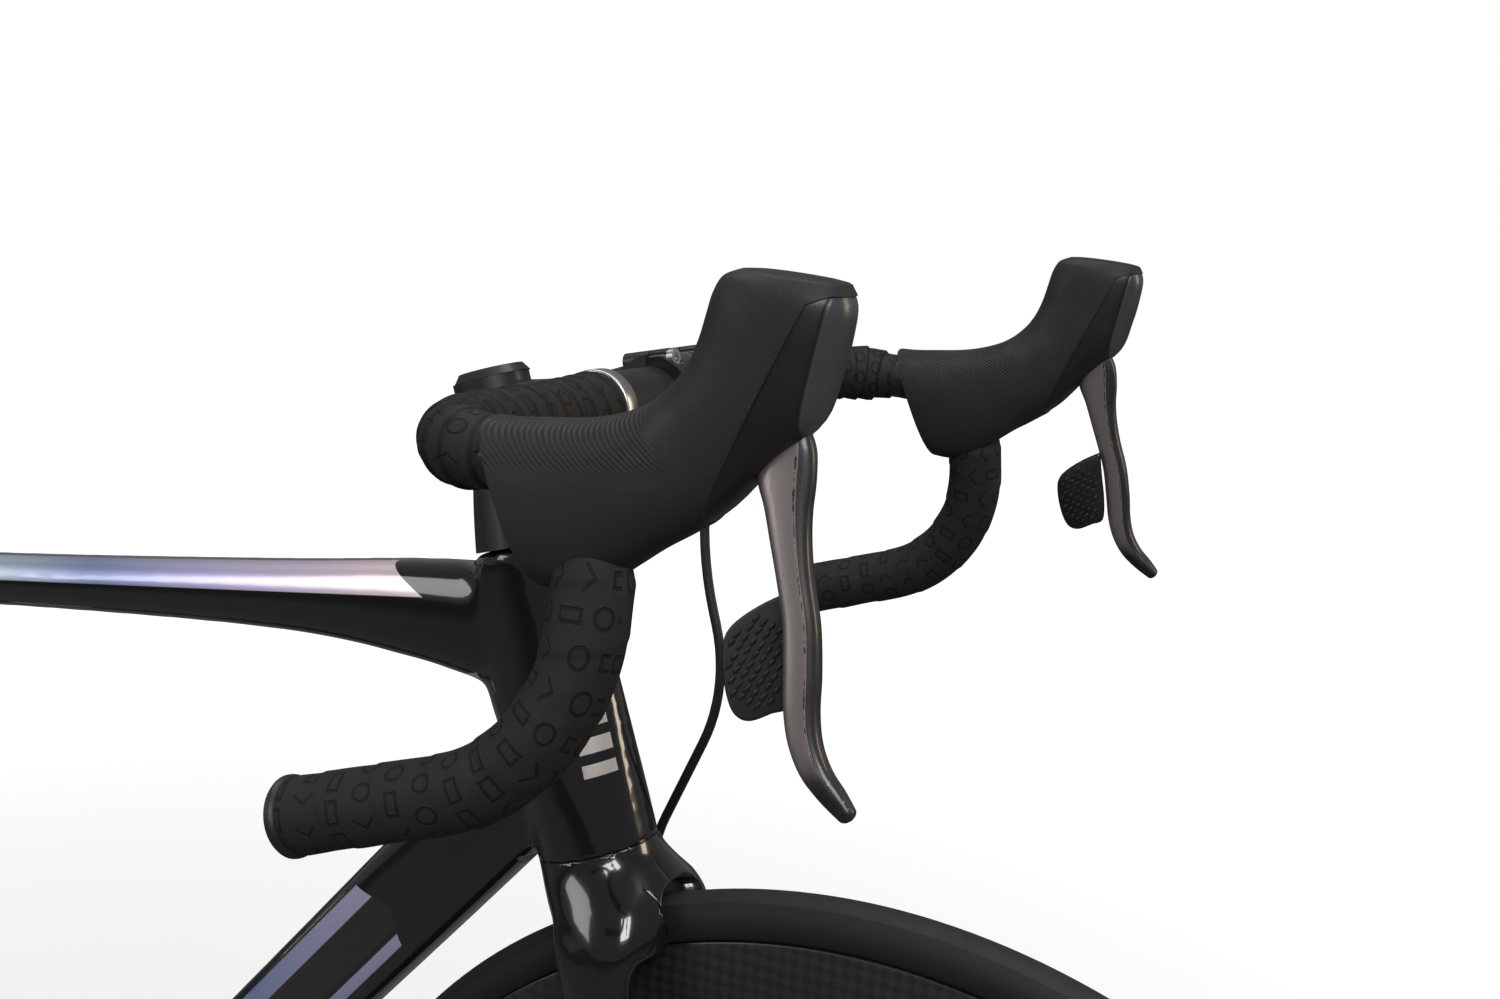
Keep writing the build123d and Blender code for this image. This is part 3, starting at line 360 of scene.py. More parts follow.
def bore(obj, start, end, radius, count=64):
    """Cuts a round hole from start to end."""
    start, end = Vector(start), Vector(end)
    d = (end - start).normalized()
    side = d.cross(Vector((0, 1, 0)))
    side = side.normalized() if side.length > 0.1 else Vector((1, 0, 0))
    up = d.cross(side)
    verts, faces = skin([oval(p, side * radius, up * radius, count) for p in (start, end)])
    return carve(obj, outward(piece("tool", verts, faces, PLAIN, None, smooth=False)))


PLAIN = Finish("plain")      # for cutting tools, which are removed


# ---- settings ---------------------------------------------------------------------------
def colour(name, description, default):
    return bpy.props.FloatVectorProperty(name=name, description=description, subtype="COLOR", size=3,
                                         default=default, min=0, max=1)


class BicycleSettings(bpy.types.PropertyGroup):
    carbon_colour: colour("Carbon lacquer", "Colour of the glossy frame and fork", (0.0045, 0.0045, 0.005))
    rubber_colour: colour("Hood rubber", "Colour of the lever hoods", (0.0205, 0.0185, 0.0175))
    tape_colour: colour("Bar tape", "Colour of the bar tape", (0.0185, 0.0165, 0.0155))
    lever_colour: colour("Lever metal", "Colour of the lever blade's anodised side", (0.34, 0.30, 0.29))
    # the default is the plastic's bluish grey, raised lighter as a painted highlight on the front
    shell_colour: colour("Lever body", "Colour of the smooth front of the lever body", (0.05, 0.05, 0.056))
    floor_colour: colour("Floor", "Colour of the studio floor", (0.35, 0.35, 0.35))
    tape_turn: bpy.props.FloatProperty(
        name="Tape pitch", description="Distance between the tape's wraps", unit="LENGTH",
        default=0.0175, min=0.008, max=0.04)
    paddle_scale: bpy.props.FloatProperty(
        name="Paddle ridge", description="Length of one raised ridge on the shift paddle", unit="LENGTH",
        default=0.0042, min=0.001, max=0.01)


def settings():
    return bpy.context.scene.bicycle


# ---- finishes ---------------------------------------------------------------------------
PEARL = [(0.0, (0.30, 0.36, 0.62)), (0.22, (0.55, 0.52, 0.80)), (0.45, (0.86, 0.70, 0.78)),
         (0.62, (0.92, 0.86, 0.80)), (0.82, (0.66, 0.74, 0.86)), (1.0, (0.30, 0.36, 0.62))]


def lacquer(name, base, banded=False):
    """Black carbon under clear coat, with pearl bands on the frame."""
    f = Finish(name, Coat_Weight=1.0, Coat_Roughness=0.03, Coat_IOR=1.5, IOR=1.5)
    _, x, y, z = f.place()
    cloud = f.noise(9, 2)
    if not banded:
        f.set(Base_Color=f.mix(cloud, base, tint(base, 1.6)), Roughness=0.16 + cloud * 0.05)
        f.bump(f.noise(55, 1), 0.02, 0.0006)
        return f
    side = y.abs()
    # top tube: a wedge along each side that runs out in a slanted tip near the head tube
    rise = z - (0.4806 + (x - 0.060) * 0.1165)
    tip = 1 - (x + rise * 1.6).step(0.352, 0.3528)
    wedge = (rise - 0.0115).step(0.0, 0.0006) * tip * (x > -0.13) * (side > 0.003)
    # down tube: two thin bands and a bounded panel on each side, the panel tinted with a painted reflection
    along = x * DOWN_DIR.x + z * DOWN_DIR.z
    across = (x * DOWN_UP.x + z * DOWN_UP.z) - DOWN_RISE * MM
    upper = (across - 0.0105).step(0, .0005) * (1 - (across - 0.0215).step(0, .0005))
    lower = (across + 0.0195).step(0, .0005) * (1 - (across + 0.0135).step(0, .0005))
    span = along.step(0.175, 0.1755) * (1 - (along + across.abs() * .6).step(0.478, 0.4785))
    bands = upper.high(lower) * span * (z < 0.40) * (side > 0.004)
    # head tube: a plain generic mark of three bars, on both flanks
    s = (x - FOOT.x * MM) * AXIS.x + (z - FOOT.z * MM) * AXIS.z
    n = (x - FOOT.x * MM) * AHEAD.x + (z - FOOT.z * MM) * AHEAD.z
    bars = ((s * 1000 / 13).frac() - .5).abs() < .30
    mark = ((s - 0.434).abs() < 0.027) * (n > 0.0165) * (n < 0.0285) * bars
    # bright strip down the rear of the head tube, in the corner of the frame
    strip = (n < -0.0385) * ((s - 0.437).abs() < 0.03)
    pearl = wedge.high(bands).high(mark).high(strip)
    # painted reflection: a warm dark brown tint on the panel between the down tube bands, for the room's
    # brownish reflection
    painted_dark_panel = (across.abs() < 0.0105) * span * (side > 0.012)
    drift = (x * 2.1 + z * 1.3 + y * 1.5 + f.noise(3.5, 1) * 0.35).frac()
    hues = f.ramp(drift, PEARL)
    flake = f.noise(900, 1)
    ground = f.mix(painted_dark_panel, f.mix(cloud, base, tint(base, 1.6)), (0.019, 0.0145, 0.013))
    f.set(Base_Color=f.mix(pearl, ground, hues), Metallic=pearl * 0.55,
          Roughness=0.16 + pearl * (0.1 + flake * 0.12))
    f.bump(f.noise(55, 1) + pearl * 0.6, 0.03, 0.0004)
    return f


def rubber(name, base):
    """Soft hood rubber: fine diagonal ridges on the hand rest with painted shade in the grooves between them,
    speckle and scuffs elsewhere.
    """
    f = Finish(name, IOR=1.45, Specular_IOR_Level=0.35)
    _, x, y, z = f.place()
    lines = ((x * 340 + z * 560 + y.abs() * 300 + f.noise(70, 2) * 1.1).frac() - 0.5).abs() * 2
    zone = (1 - (x + z * 0.5).step(0.893, 0.905)) * (z - 0.1 * x).step(0.583, 0.590)
    grain = f.noise(1400, 2)
    scuff = f.noise(28, 5, 0.65).step(0.52, 0.75)
    specks = f.noise(900, 1).step(0.66, 0.72)
    dust = (scuff * 0.45).high(specks * 0.35)
    # painted shade: the grooves between the ridges are darkened
    groove_shaded = f.mix(zone * (1 - lines) * 0.25, base, tint(base, 0.5))
    f.set(Base_Color=f.mix(dust, groove_shaded, tint(base, 2.2)), Roughness=0.5 + grain * 0.14 - scuff * 0.06)
    f.bump(lines * zone * 0.8 + grain * 0.2, 0.6, 0.0006)
    return f


def shell_plastic(name, base):
    """Front of the lever body: satin, with painted shade as a black panel behind a line, for a concave chamfer
    in shade, and a fine parting line.
    """
    f = Finish(name, IOR=1.5, Coat_Weight=0.25, Coat_Roughness=0.25)
    _, x, _, z = f.place()
    parting = (x - 0.594) - (z - 0.635) * 0.465 - (0.0035 + (0.712 - z) * 0.26)
    # painted shade: the region behind the line is coloured black for the shade of a concave chamfer
    painted_dark_panel = 1 - parting.step(0, 0.0007)
    grain = f.noise(1600, 2)
    wear = f.noise(60, 4, 0.7).step(0.6, 0.78)
    f.set(Base_Color=f.mix(painted_dark_panel, f.mix(wear * 0.3, base, tint(base, 2.2)), (0.004, 0.004, 0.0045)),
          Roughness=0.29 + grain * 0.08 + painted_dark_panel * 0.14)
    line = 1 - parting.abs().step(0.0002, 0.0008)
    f.bump(grain * 0.12 - line - painted_dark_panel * 0.7, 0.4, 0.0005)
    return f


def lever_metal(name, base):
    """Grey anodised blade, dark front face and tip, chipped edges."""
    f = Finish(name, IOR=1.5, Coat_Weight=0.35, Coat_Roughness=0.12)
    v, z = f.uv()[2], f.place()[3]
    brush = f.noise(900, 2, 0.6, f.stretch(1, 1, 0.06))
    dark_front = v.step(0.70, 0.71)
    tip = 1 - (z + f.noise(120, 3) * 0.012).step(0.5505, 0.566)
    edge_chip = ((v - 0.66).abs()).step(0.0, 0.055)
    chips = (f.noise(260, 4, 0.75) - edge_chip * 0.33).step(0.475, 0.49)
    specks = f.noise(700, 2, 0.6).step(0.735, 0.75)
    worn = chips.high(specks * 0.9)
    side = f.mix(brush * 0.5, base, tint(base, 0.72))
    black = f.mix(brush, (0.010, 0.010, 0.011), (0.03, 0.029, 0.03))
    shade = f.mix(dark_front.high(worn).high(tip * 0.93), side, black)
    bare = f.noise(420, 3, 0.7).step(0.66, 0.7) * tip * 0.6
    f.set(Base_Color=f.mix(bare, shade, (0.5, 0.48, 0.46)),
          Metallic=(1 - dark_front.high(worn)) * 0.75, Roughness=0.30 + brush * 0.12 + dark_front * 0.05)
    f.bump(brush * 0.25 - worn * 0.9, 0.25, 0.0004)
    return f


def moulded(name, base, rough=0.45, grain_scale=1300, coat=0.0):
    """Fine-grained black plastic."""
    f = Finish(name, IOR=1.48, Coat_Weight=coat, Coat_Roughness=0.2)
    grain = f.noise(grain_scale, 2)
    rub = f.noise(45, 4, 0.65).step(0.55, 0.8)
    f.set(Base_Color=f.mix(rub * 0.6, base, tint(base, 1.8)), Roughness=rough + grain * 0.14 - rub * 0.08)
    f.bump(grain, 0.18, 0.0003)
    return f


MARK_CELL = 0.0135       # metres between the tape's embossed marks


def tape_finish(name, base):
    """Padded tape: embossed outline shapes with painted shade in their grooves, and painted shade along the
    wrap edges where each turn steps over the next.
    """
    f = Finish(name, IOR=1.45, Specular_IOR_Level=0.3)
    _, u, v = f.uv()
    # u runs along the bar in metres, v round it in metres, and every other column of marks is half a cell up
    cell_u = u / MARK_CELL
    cell_v = v / MARK_CELL + cell_u.math("FLOOR") * 0.5
    cu, cv = cell_u.frac() - 0.5, cell_v.frac() - 0.5
    kind = ((cell_u.math("FLOOR") * 12.9 + cell_v.math("FLOOR") * 78.2).math("SINE") * 437.5).frac()
    ring_r = (cu * cu + cv * cv).math("SQRT")
    hoop = 1 - (ring_r - 0.27).abs().step(0.03, 0.06)
    pill = 1 - (cu.abs().high((cv.abs() - 0.16).high(0.0)) - 0.17).abs().step(0.03, 0.06)
    chevron = 1 - ((cu.abs() * 0.9 + cv) - 0.1).abs().step(0.035, 0.065)
    chevron = chevron * (ring_r < 0.4)
    shapes = hoop * (kind < 0.36) + pill * (kind > 0.36) * (kind < 0.7) + chevron * (kind > 0.7)
    grain = f.noise(1100, 3, 0.6)
    rub = f.noise(34, 4, 0.7).step(0.5, 0.8)
    # painted shade: the colour darkens along the edge of each turn, where it steps over the next one
    seam_shade = 1 - f.node("ShaderNodeAttribute", {"attribute_name": "wrap"}, out=2).step(0.03, 0.11)
    worn = f.mix(rub * 0.7, base, tint(base, 1.8))
    # painted shade: the embossed marks and the turn edges are darkened
    f.set(Base_Color=f.mix((shapes * 0.8).high(seam_shade * 0.85), worn, tint(base, 0.22)),
          Roughness=0.62 + grain * 0.15)
    f.bump(grain * 0.3 - shapes * 0.9, 0.8, 0.0008)
    return f


def tyre_finish(name):
    f = Finish(name, IOR=1.45, Specular_IOR_Level=0.3)
    _, x, y, z = f.place()
    grain = f.noise(700, 3, 0.6)
    road = f.noise(40, 5, 0.7)
    tread = 1 - y.abs().step(0.0085, 0.0092)
    f.set(Base_Color=f.mix(road * 0.7 * tread, (0.013, 0.013, 0.0135), (0.045, 0.043, 0.041)),
          Roughness=0.58 + grain * 0.15)
    thread = crossed(x, z, 900)
    f.bump(grain * 0.4 + thread * 0.15 * (1 - tread) + tread * 0.6, 0.3, 0.0004)
    return f


def rim_finish(name):
    """Satin carbon: weave just showing under a matt clear coat."""
    f = Finish(name, IOR=1.5, Coat_Weight=0.3, Coat_Roughness=0.3)
    _, x, _, z = f.place()
    weave = crossed(x, z, 480)
    cloud = f.noise(14, 4, 0.6)
    shown = weave.step(-0.4, 0.4) * 0.6 + cloud * 0.3
    f.set(Base_Color=f.mix(shown, (0.008, 0.008, 0.0085), (0.024, 0.024, 0.025)), Roughness=0.34 + cloud * 0.12)
    f.bump(weave * 0.4 + f.noise(60, 1) * 0.3, 0.08, 0.0004)
    return f


def metal(name, base, rough, brushed=(1, 1, 1), metallic=1.0, grime=0.3, coat=0.0):
    """Machined or anodised metal with brushing, dirt in soft patches."""
    f = Finish(name, Coat_Weight=coat, Coat_Roughness=0.15)
    lines = f.noise(700, 3, 0.6, f.stretch(*brushed))
    dirt = f.noise(26, 5, 0.7).step(0.45, 0.75)
    f.set(Base_Color=f.mix(dirt * grime, f.mix(lines * 0.4, base, tint(base, 0.7)), tint(base, 0.35)),
          Roughness=rough + lines * 0.12 + dirt * grime * 0.25, Metallic=metallic)
    f.bump(lines, 0.12, 0.0002)
    return f


def leather(name, base):
    f = Finish(name, IOR=1.46, Specular_IOR_Level=0.4)
    inputs = {"Vector": f.place()[0], "Scale": 620.0}
    cells = f.node("ShaderNodeTexVoronoi", {"feature": "DISTANCE_TO_EDGE"}, inputs)
    crease = f.noise(40, 4, 0.6)
    f.set(Base_Color=f.mix(crease * 0.4, base, tint(base, 1.7)), Roughness=0.46 + cells * 0.25 + crease * 0.08)
    f.bump(cells.step(0, 0.12) * 0.5 + crease * 0.3, 0.3, 0.0004)
    return f


def make_finishes():
    s = settings()
    FINISHES.update(
        frame_skin=lacquer("frame_lacquer", tuple(s.carbon_colour), True),
        lacquer=lacquer("clear_lacquer", tuple(s.carbon_colour)),
        rubber=rubber("hood_rubber", tuple(s.rubber_colour)),
        shell=shell_plastic("lever_shell", tuple(s.shell_colour)),
        blade=lever_metal("lever_blade", tuple(s.lever_colour)),
        plastic=moulded("moulded_plastic", (0.012, 0.012, 0.0125), 0.4),
        paddle=moulded("paddle_plastic", (0.011, 0.0115, 0.013), 0.34, coat=0.1),
        hose=moulded("hose_jacket", (0.010, 0.011, 0.012), 0.35),
        tape=tape_finish("bar_tape", tuple(s.tape_colour)),
        tyre=tyre_finish("tyre_rubber"), rim=rim_finish("rim_carbon"),
        satin=metal("satin_black_alloy", (0.022, 0.023, 0.026), 0.38, metallic=0.35, coat=0.15),
        gloss_alloy=metal("gloss_black_alloy", (0.015, 0.015, 0.017), 0.16, metallic=0.5, coat=0.6),
        silver=metal("bright_alloy", (0.62, 0.61, 0.6), 0.26),
        steel=metal("steel", (0.52, 0.52, 0.53), 0.3, (1, 0.1, 1)),
        disc=metal("disc_steel", (0.5, 0.5, 0.51), 0.28, (1, 1, 1), grime=0.25),
        chainwheel=metal("dark_steel", (0.14, 0.14, 0.145), 0.34, (1, 1, 1), grime=0.35),
        spoke=metal("black_spoke", (0.03, 0.03, 0.032), 0.32, metallic=0.7),
        leather=leather("saddle_cover", (0.014, 0.014, 0.0145)),
    )


# ---- operators --------------------------------------------------------------------------
class BICYCLE_OT_frame(bpy.types.Operator):
    """One-piece carbon frame with blended joints"""
    bl_idname = "bicycle.frame"
    bl_label = "Frame"

    def execute(self, context):
        parts = []

        def tube(stations, steps=8, count=40, power=2.3):
            rows = spread([(*p, *d, hy, hd) for p, d, hy, hd in stations], steps)
            rings = []
            for r in rows:
                d = Vector(r[3:6]).normalized()
                up = d.cross(Vector((0, 1, 0))).normalized()
                rings.append(oval(r[:3], Vector((0, 1, 0)) * r[6], up * r[7], count, power))
            parts.append(skin(rings))

        # head tube
        tube([(on_axis(s, ahead), AXIS, hy, hd) for s, ahead, hy, hd in (
            (358, 0, 31, 31), (400, -1, 30, 32), (455, -5, 25.5, 36.5), (500, -4, 24.5, 34),
            (525.5, -1, 24.5, 28))], power=2.0)
        # top tube
        d = Vector((490, 0, 57)).normalized()
        tube([((-140, 0, 467), d, 16, 15), ((60, 0, 489.5), d, 18, 15.5), ((230, 0, 507.5), d, 19, 19),
              ((318, 0, 513), d, 19, 26), ((378, 0, 512), d, 20, 33)], power=3.0)
        # down tube
        low = Vector((2, 0, 6))
        lean = (on_down_tube(260) - low).normalized()
        tube([(low, lean, 26, 26), (on_down_tube(200), (lean + DOWN_DIR).normalized(), 25, 28.5),
              (on_down_tube(400), DOWN_DIR, 24, 29.5), (on_down_tube(500), DOWN_DIR, 24, 30),
              (on_down_tube(585), DOWN_DIR, 22, 30)], power=3.2)
        # seat tube
        tube([(SEAT_LINE * s, SEAT_LINE, hy, hd) for s, hy, hd in (
            (8, 20, 24), (120, 17.5, 21), (515, 17.5, 20))], power=2.2)
        # stays and dropouts on each side, then the bottom bracket shell
        rx, rz = REAR.x, REAR.z
        for side in (1, -1):
            def flip(points):
                return [((p[0], p[1] * side, p[2]), (v[0], v[1] * side, v[2]), a, b) for p, v, a, b in points]

            tube(flip([((-14, 24, 0), (-1, .08, .1), 7, 14), ((-100, 27.5, 12), (-1, .2, .17), 7, 13),
                       ((-235, 51, 38), (-1, .2, .18), 6, 11), ((-330, 71, 58), (-1, .1, .15), 5.5, 10),
                       ((rx + 2, 75.5, rz - 1), (-1, 0, .12), 4.5, 9)]), count=28)
            tube(flip([((rx, 75.5, rz), (.5, 0, 1), 4.5, 9), ((-318, 55, 196), (.55, -.2, 1), 5.5, 8),
                       ((-222, 25.5, 326), (.65, -.18, 1), 6, 8.5),
                       ((-135, 11, 437), (.7, -.1, 1), 6, 9)]), count=28)
            y0, y1 = (71.2, 79.8) if side > 0 else (-79.8, -71.2)
            parts.append(skin([oval((rx, y, rz), (14, 0, 0), (0, 0, 16), 28) for y in (y0, y1)]))
        parts.append(skin([oval((0, y, 0), (25, 0, 0), (0, 0, 25), 48) for y in (-43.2, 43.2)]))
        obj = joined("frame_shell", parts, FINISHES["frame_skin"], None)
        unify(obj, 3.0, 10)
        bore(obj, on_axis(320), on_axis(CROWN_SEAM + 0.4), 44)
        bore(obj, on_axis(360), on_axis(540), 21)
        bore(obj, (0, -60, 0), (0, 60, 0), BB_BORE)
        bore(obj, SEAT_LINE * 280, SEAT_LINE * 560, POST_BORE)
        bore(obj, (rx, -90, rz), (rx, 90, rz), AXLE_BORE)
        shade_smooth(obj)
        dress(obj, FINISHES["frame_skin"])
        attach(obj, "frame")
        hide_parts("head_tube", "down_tube", "top_tube", "seat_tube", "bb_shell", "chainstays",
                    "seatstays")
        # hanger for the rear derailleur, and bearing covers
        hang = [(rx - 8, rz - 10), (rx + 6, rz - 10), (rx + 2, rz - 36), (rx - 16, rz - 36)]
        verts = [(x, y, z) for y in (-78, -71) for x, z in hang]
        faces = [(0, 1, 2, 3), (7, 6, 5, 4), (0, 4, 5, 1), (1, 5, 6, 2), (2, 6, 7, 3), (3, 7, 4, 0)]
        plate = piece("derailleur_hanger", verts, faces, FINISHES["satin"], "frame", smooth=False,
                      slot="black_alloy")
        outward(plate)
        mod = plate.modifiers.new("edge", "BEVEL")
        mod.width, mod.segments = 0.0012, 2
        rings = []
        for s0, s1, ro, ri in ((369.2, 375, 26, 20.3), (519.5, 525, 21, 15.3)):
            a, b = on_axis(s0), on_axis(s1)
            corners = ((a, ro), (b, ro), (b, ri), (a, ri))
            loops = [oval(p, Vector((0, 1, 0)) * r, AHEAD * r, 48) for p, r in corners]
            rings.append(skin(loops, loop=True))
        for y0, y1 in ((34, 43.2), (-43.2, -34)):
            corners = ((y0, BB_BORE), (y1, BB_BORE), (y1, 12.3), (y0, 12.3))
            loops = [oval((0, y, 0), (r, 0, 0), (0, 0, r), 48) for y, r in corners]
            rings.append(skin(loops, loop=True))
        cups = joined("bearing_rings", rings, FINISHES["satin"], "frame", "black_alloy")
        outward(cups)
        return {"FINISHED"}


class BICYCLE_OT_fork(bpy.types.Operator):
    """Carbon fork with an arched crown"""
    bl_idname = "bicycle.fork"
    bl_label = "Fork"

    def execute(self, context):
        parts = []
        crown = spread([(378, 0, 30.9, 30.9), (368, 0, 31, 31), (361, 1, 32.4, 31.8), (352, 4, 36.5, 34),
                        (342, 8, 42, 35.5), (330, 12, 46.5, 34), (316, 13, 48.5, 29)], 6)
        parts.append(skin([oval(on_axis(s, f), (0, hy, 0), AHEAD * hd, 48, 2.05) for s, f, hy, hd in crown]))
        for side in (1, -1):
            spots = spread([(345, 8, 27, 11, 25), (325, 9, 36, 11.5, 24), (298, 5, 39.5, 10, 19),
                            (230, 0, 44.5, 8.5, 16), (130, 8, 51, 7, 13.5), (60, 24, 54.8, 5.4, 11),
                            (4, 42, 55.5, 5, 8)], 8)
            parts.append(skin([oval(on_axis(s, f, side * y), (0, hy, 0), AHEAD * hd, 32, 2.3)
                               for s, f, y, hy, hd in spots]))
            y0, y1 = (50.3, 60.3) if side > 0 else (-60.3, -50.3)
            parts.append(skin([oval((FRONT.x, y, FRONT.z), (12.5, 0, 0), (0, 0, 12.5), 32) for y in (y0, y1)]))
        obj = joined("fork_shell", parts, FINISHES["lacquer"], None)
        unify(obj, 2.0, 26)
        bore(obj, on_axis(CROWN_SEAM), on_axis(400), 44)
        # room for the tyre under the crown
        path = [(0, 18.2), (322, 21), (338, 19.4), (345.5, 12), (347, 0)]
        profile = path + [(r, -y) for r, y in reversed(path[:-1])]
        count = 120
        rings = about_axle(spread(profile, 3)[1:-1], FRONT, count)
        verts, faces = skin(rings, closed=False, caps=False, loop=True)
        n = len(rings[0])
        verts += [FRONT + Vector((0, profile[0][1], 0)), FRONT + Vector((0, profile[-1][1], 0))]
        for i in range(count):
            j = (i + 1) % count
            faces.append((i * n, j * n, len(verts) - 2))
            faces.append((j * n + n - 1, i * n + n - 1, len(verts) - 1))
        carve(obj, outward(piece("tool", verts, faces, PLAIN, None)))
        bore(obj, (FRONT.x, -80, FRONT.z), (FRONT.x, 80, FRONT.z), 6.1)
        shade_smooth(obj)
        dress(obj, FINISHES["lacquer"])
        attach(obj, "steering")
        # steerer tube
        steps = [(358, 19.9), (376, 19.9), (450, 14.3), (609, 14.3)]
        tube = skin([oval(on_axis(s), (0, r, 0), AHEAD * r, 40) for s, r in steps])
        steerer = joined("steerer_tube", [tube], FINISHES["satin"], "steering", "black_alloy")
        outward(steerer)
        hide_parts("fork")
        return {"FINISHED"}


# Side outline of the lever body and hood, rear to front: top point, bottom point, half width.
BODY_RIBS = [
    (501, 653.5, 527, 594.5, 18.4), (509, 653.5, 537, 594.0, 19.0), (522, 654.5, 549, 597.5, 19.2),
    (538, 656.0, 560, 605.0, 19.2), (552, 659.0, 571, 613.0, 19.0), (564.5, 664.0, 583, 620.5, 18.6),
    (573.5, 671, 597, 630.5, 18.0), (579.5, 679, 613, 648.5, 17.5), (583.2, 688, 628.0, 663, 17.2),
    (585.6, 697, 633.3, 679, 17.0), (587.5, 704, 636.0, 692, 16.8), (590.6, 709.3, 636.8, 702.0, 15.8),
    (595.5, 711.6, 634.0, 708.6, 12.8),
]
GRIP_Y = 206.0


def body_rings(inset=0.0, count=44, steps=5):
    """Rings through the ribs, drawn in by inset."""
    rings = []
    rows = spread(BODY_RIBS, steps)
    for k, (tx, tz, bx, bz, w) in enumerate(rows):
        top, bottom = Vector((tx, 0, tz)), Vector((bx, 0, bz))
        centre, half = (top + bottom) / 2, (top - bottom) / 2
        half -= half.normalized() * inset
        centre.y = GRIP_Y + 2.0 * (1 - k / len(rows))
        rings.append(oval(centre, half, Vector((0, w - inset, 0)), count, 2.55))
    return rings


def domed(rings, depth, n=4):
    """Adds shrinking rings past the last one, for a rounded end."""
    last = rings[-1]
    centre = sum(last, Vector()) / len(last)
    out = (centre - sum(rings[-2], Vector()) / len(last)).normalized()
    for i in range(1, n + 1):
        a = pi / 2 * i / (n + .35)
        rings.append([centre + (p - centre) * cos(a) + out * depth * sin(a) for p in last])
    return rings


def keep_ahead(obj, point, normal):
    """Cuts by a plane, keeps the side that its normal points to and closes the cut."""
    work = bmesh.new()
    work.from_mesh(obj.data)
    bmesh.ops.bisect_plane(work, geom=work.verts[:] + work.edges[:] + work.faces[:], dist=1e-7,
                           plane_co=Vector(point) * MM, plane_no=normal, clear_inner=True)
    bmesh.ops.holes_fill(work, edges=[e for e in work.edges if e.is_boundary])
    bmesh.ops.recalc_face_normals(work, faces=work.faces)
    work.to_mesh(obj.data)
    work.free()
    return obj


# The shell's rear plane, and how far its surface is below the rubber's.
SHELL_PLANE = ((593.2, 0, 635.3), (0.9068, 0, -0.4216))
SHELL_INSET = 0.7
# Side outline of the space in front of the rubber and under its lip.
SHELL_ROOM = [(568.7, 580.6), (625.4, 702.5), (632, 705.2), (660, 706.5), (660, 560)]


def shell_room(side):
    """Tool that cuts away the rubber in front of the lever body."""
    verts = [(x, side * y, z) for y in (170, 242) for x, z in SHELL_ROOM]
    n = len(SHELL_ROOM)
    ends = [tuple(range(n)), tuple(range(2 * n - 1, n - 1, -1))]
    walls = [(i, (i + 1) % n, n + (i + 1) % n, n + i) for i in range(n)]
    return outward(piece("tool", verts, ends + walls, PLAIN, None, smooth=False))


class BICYCLE_OT_hoods(bpy.types.Operator):
    """Rubber hoods and the lever bodies they cover"""
    bl_idname = "bicycle.hoods"
    bl_label = "Lever hoods and bodies"

    def execute(self, context):
        hoods, shells = [], []
        for side in (1, -1):
            for inset, store in ((0.0, hoods), (SHELL_INSET, shells)):
                part = skin(domed(body_rings(inset), 1.5 - inset * .3))
                obj = outward(piece("part", *(part if side > 0 else mirrored(part)), PLAIN, None))
                if store is shells:
                    keep_ahead(obj, *SHELL_PLANE)
                else:
                    carve(obj, shell_room(side))
                store.append(obj)
        for name, group, finish, node, slot in (
                ("hood_covers", hoods, "rubber", "hoods", "hood_rubber"),
                ("lever_shells", shells, "shell", "lever_bodies", "black_plastic")):
            verts, faces = [], []
            for obj in group:
                base = len(verts)
                verts += [v.co / MM for v in obj.data.vertices]
                faces += [tuple(base + i for i in p.vertices) for p in obj.data.polygons]
                bpy.data.objects.remove(obj)
            made = piece(name, verts, faces, FINISHES[finish], None)
            mod = made.modifiers.new("edge", "BEVEL")
            mod.width, mod.segments = 0.0009, 3
            mod.limit_method, mod.angle_limit = "ANGLE", radians(38)
            bake_modifiers(made)
            dress(made, FINISHES[finish])
            shade_smooth(made)
            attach(made, "steering")
            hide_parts(node)
        return {"FINISHED"}


PIVOT = Vector((614.0, GRIP_Y, 655.0))
TILT = Matrix.Rotation(radians(9.5), 4, "X")


def tilted(p):
    """Places a point of the upright blade in its outward-leaning plane, left side."""
    return Matrix.Translation(PIVOT) @ TILT @ Matrix.Translation((-PIVOT.x, 0, -PIVOT.z)) @ Vector(p)


# Blade from top to tip: front edge, rear edge, half thickness.
BLADE = [
    (620.5, 664, 612, 664, 4.0), (625.5, 655, 608.2, 652, 5.0), (627, 644, 606.5, 643, 5.1),
    (627, 634, 610.5, 633, 5.1), (628, 624, 614.5, 621, 5.1), (630.5, 612, 618.5, 609, 5.1),
    (634.8, 597, 622.3, 596, 5.2), (637.3, 581, 624.6, 581, 5.3), (638.3, 569, 626.4, 568, 5.2),
    (640.6, 559, 629.6, 557, 5.0), (645, 551, 635.2, 547.5, 4.6), (650.6, 545, 643, 540.5, 4.2),
    (654.6, 540.2, 650.6, 535.4, 3.4),
]


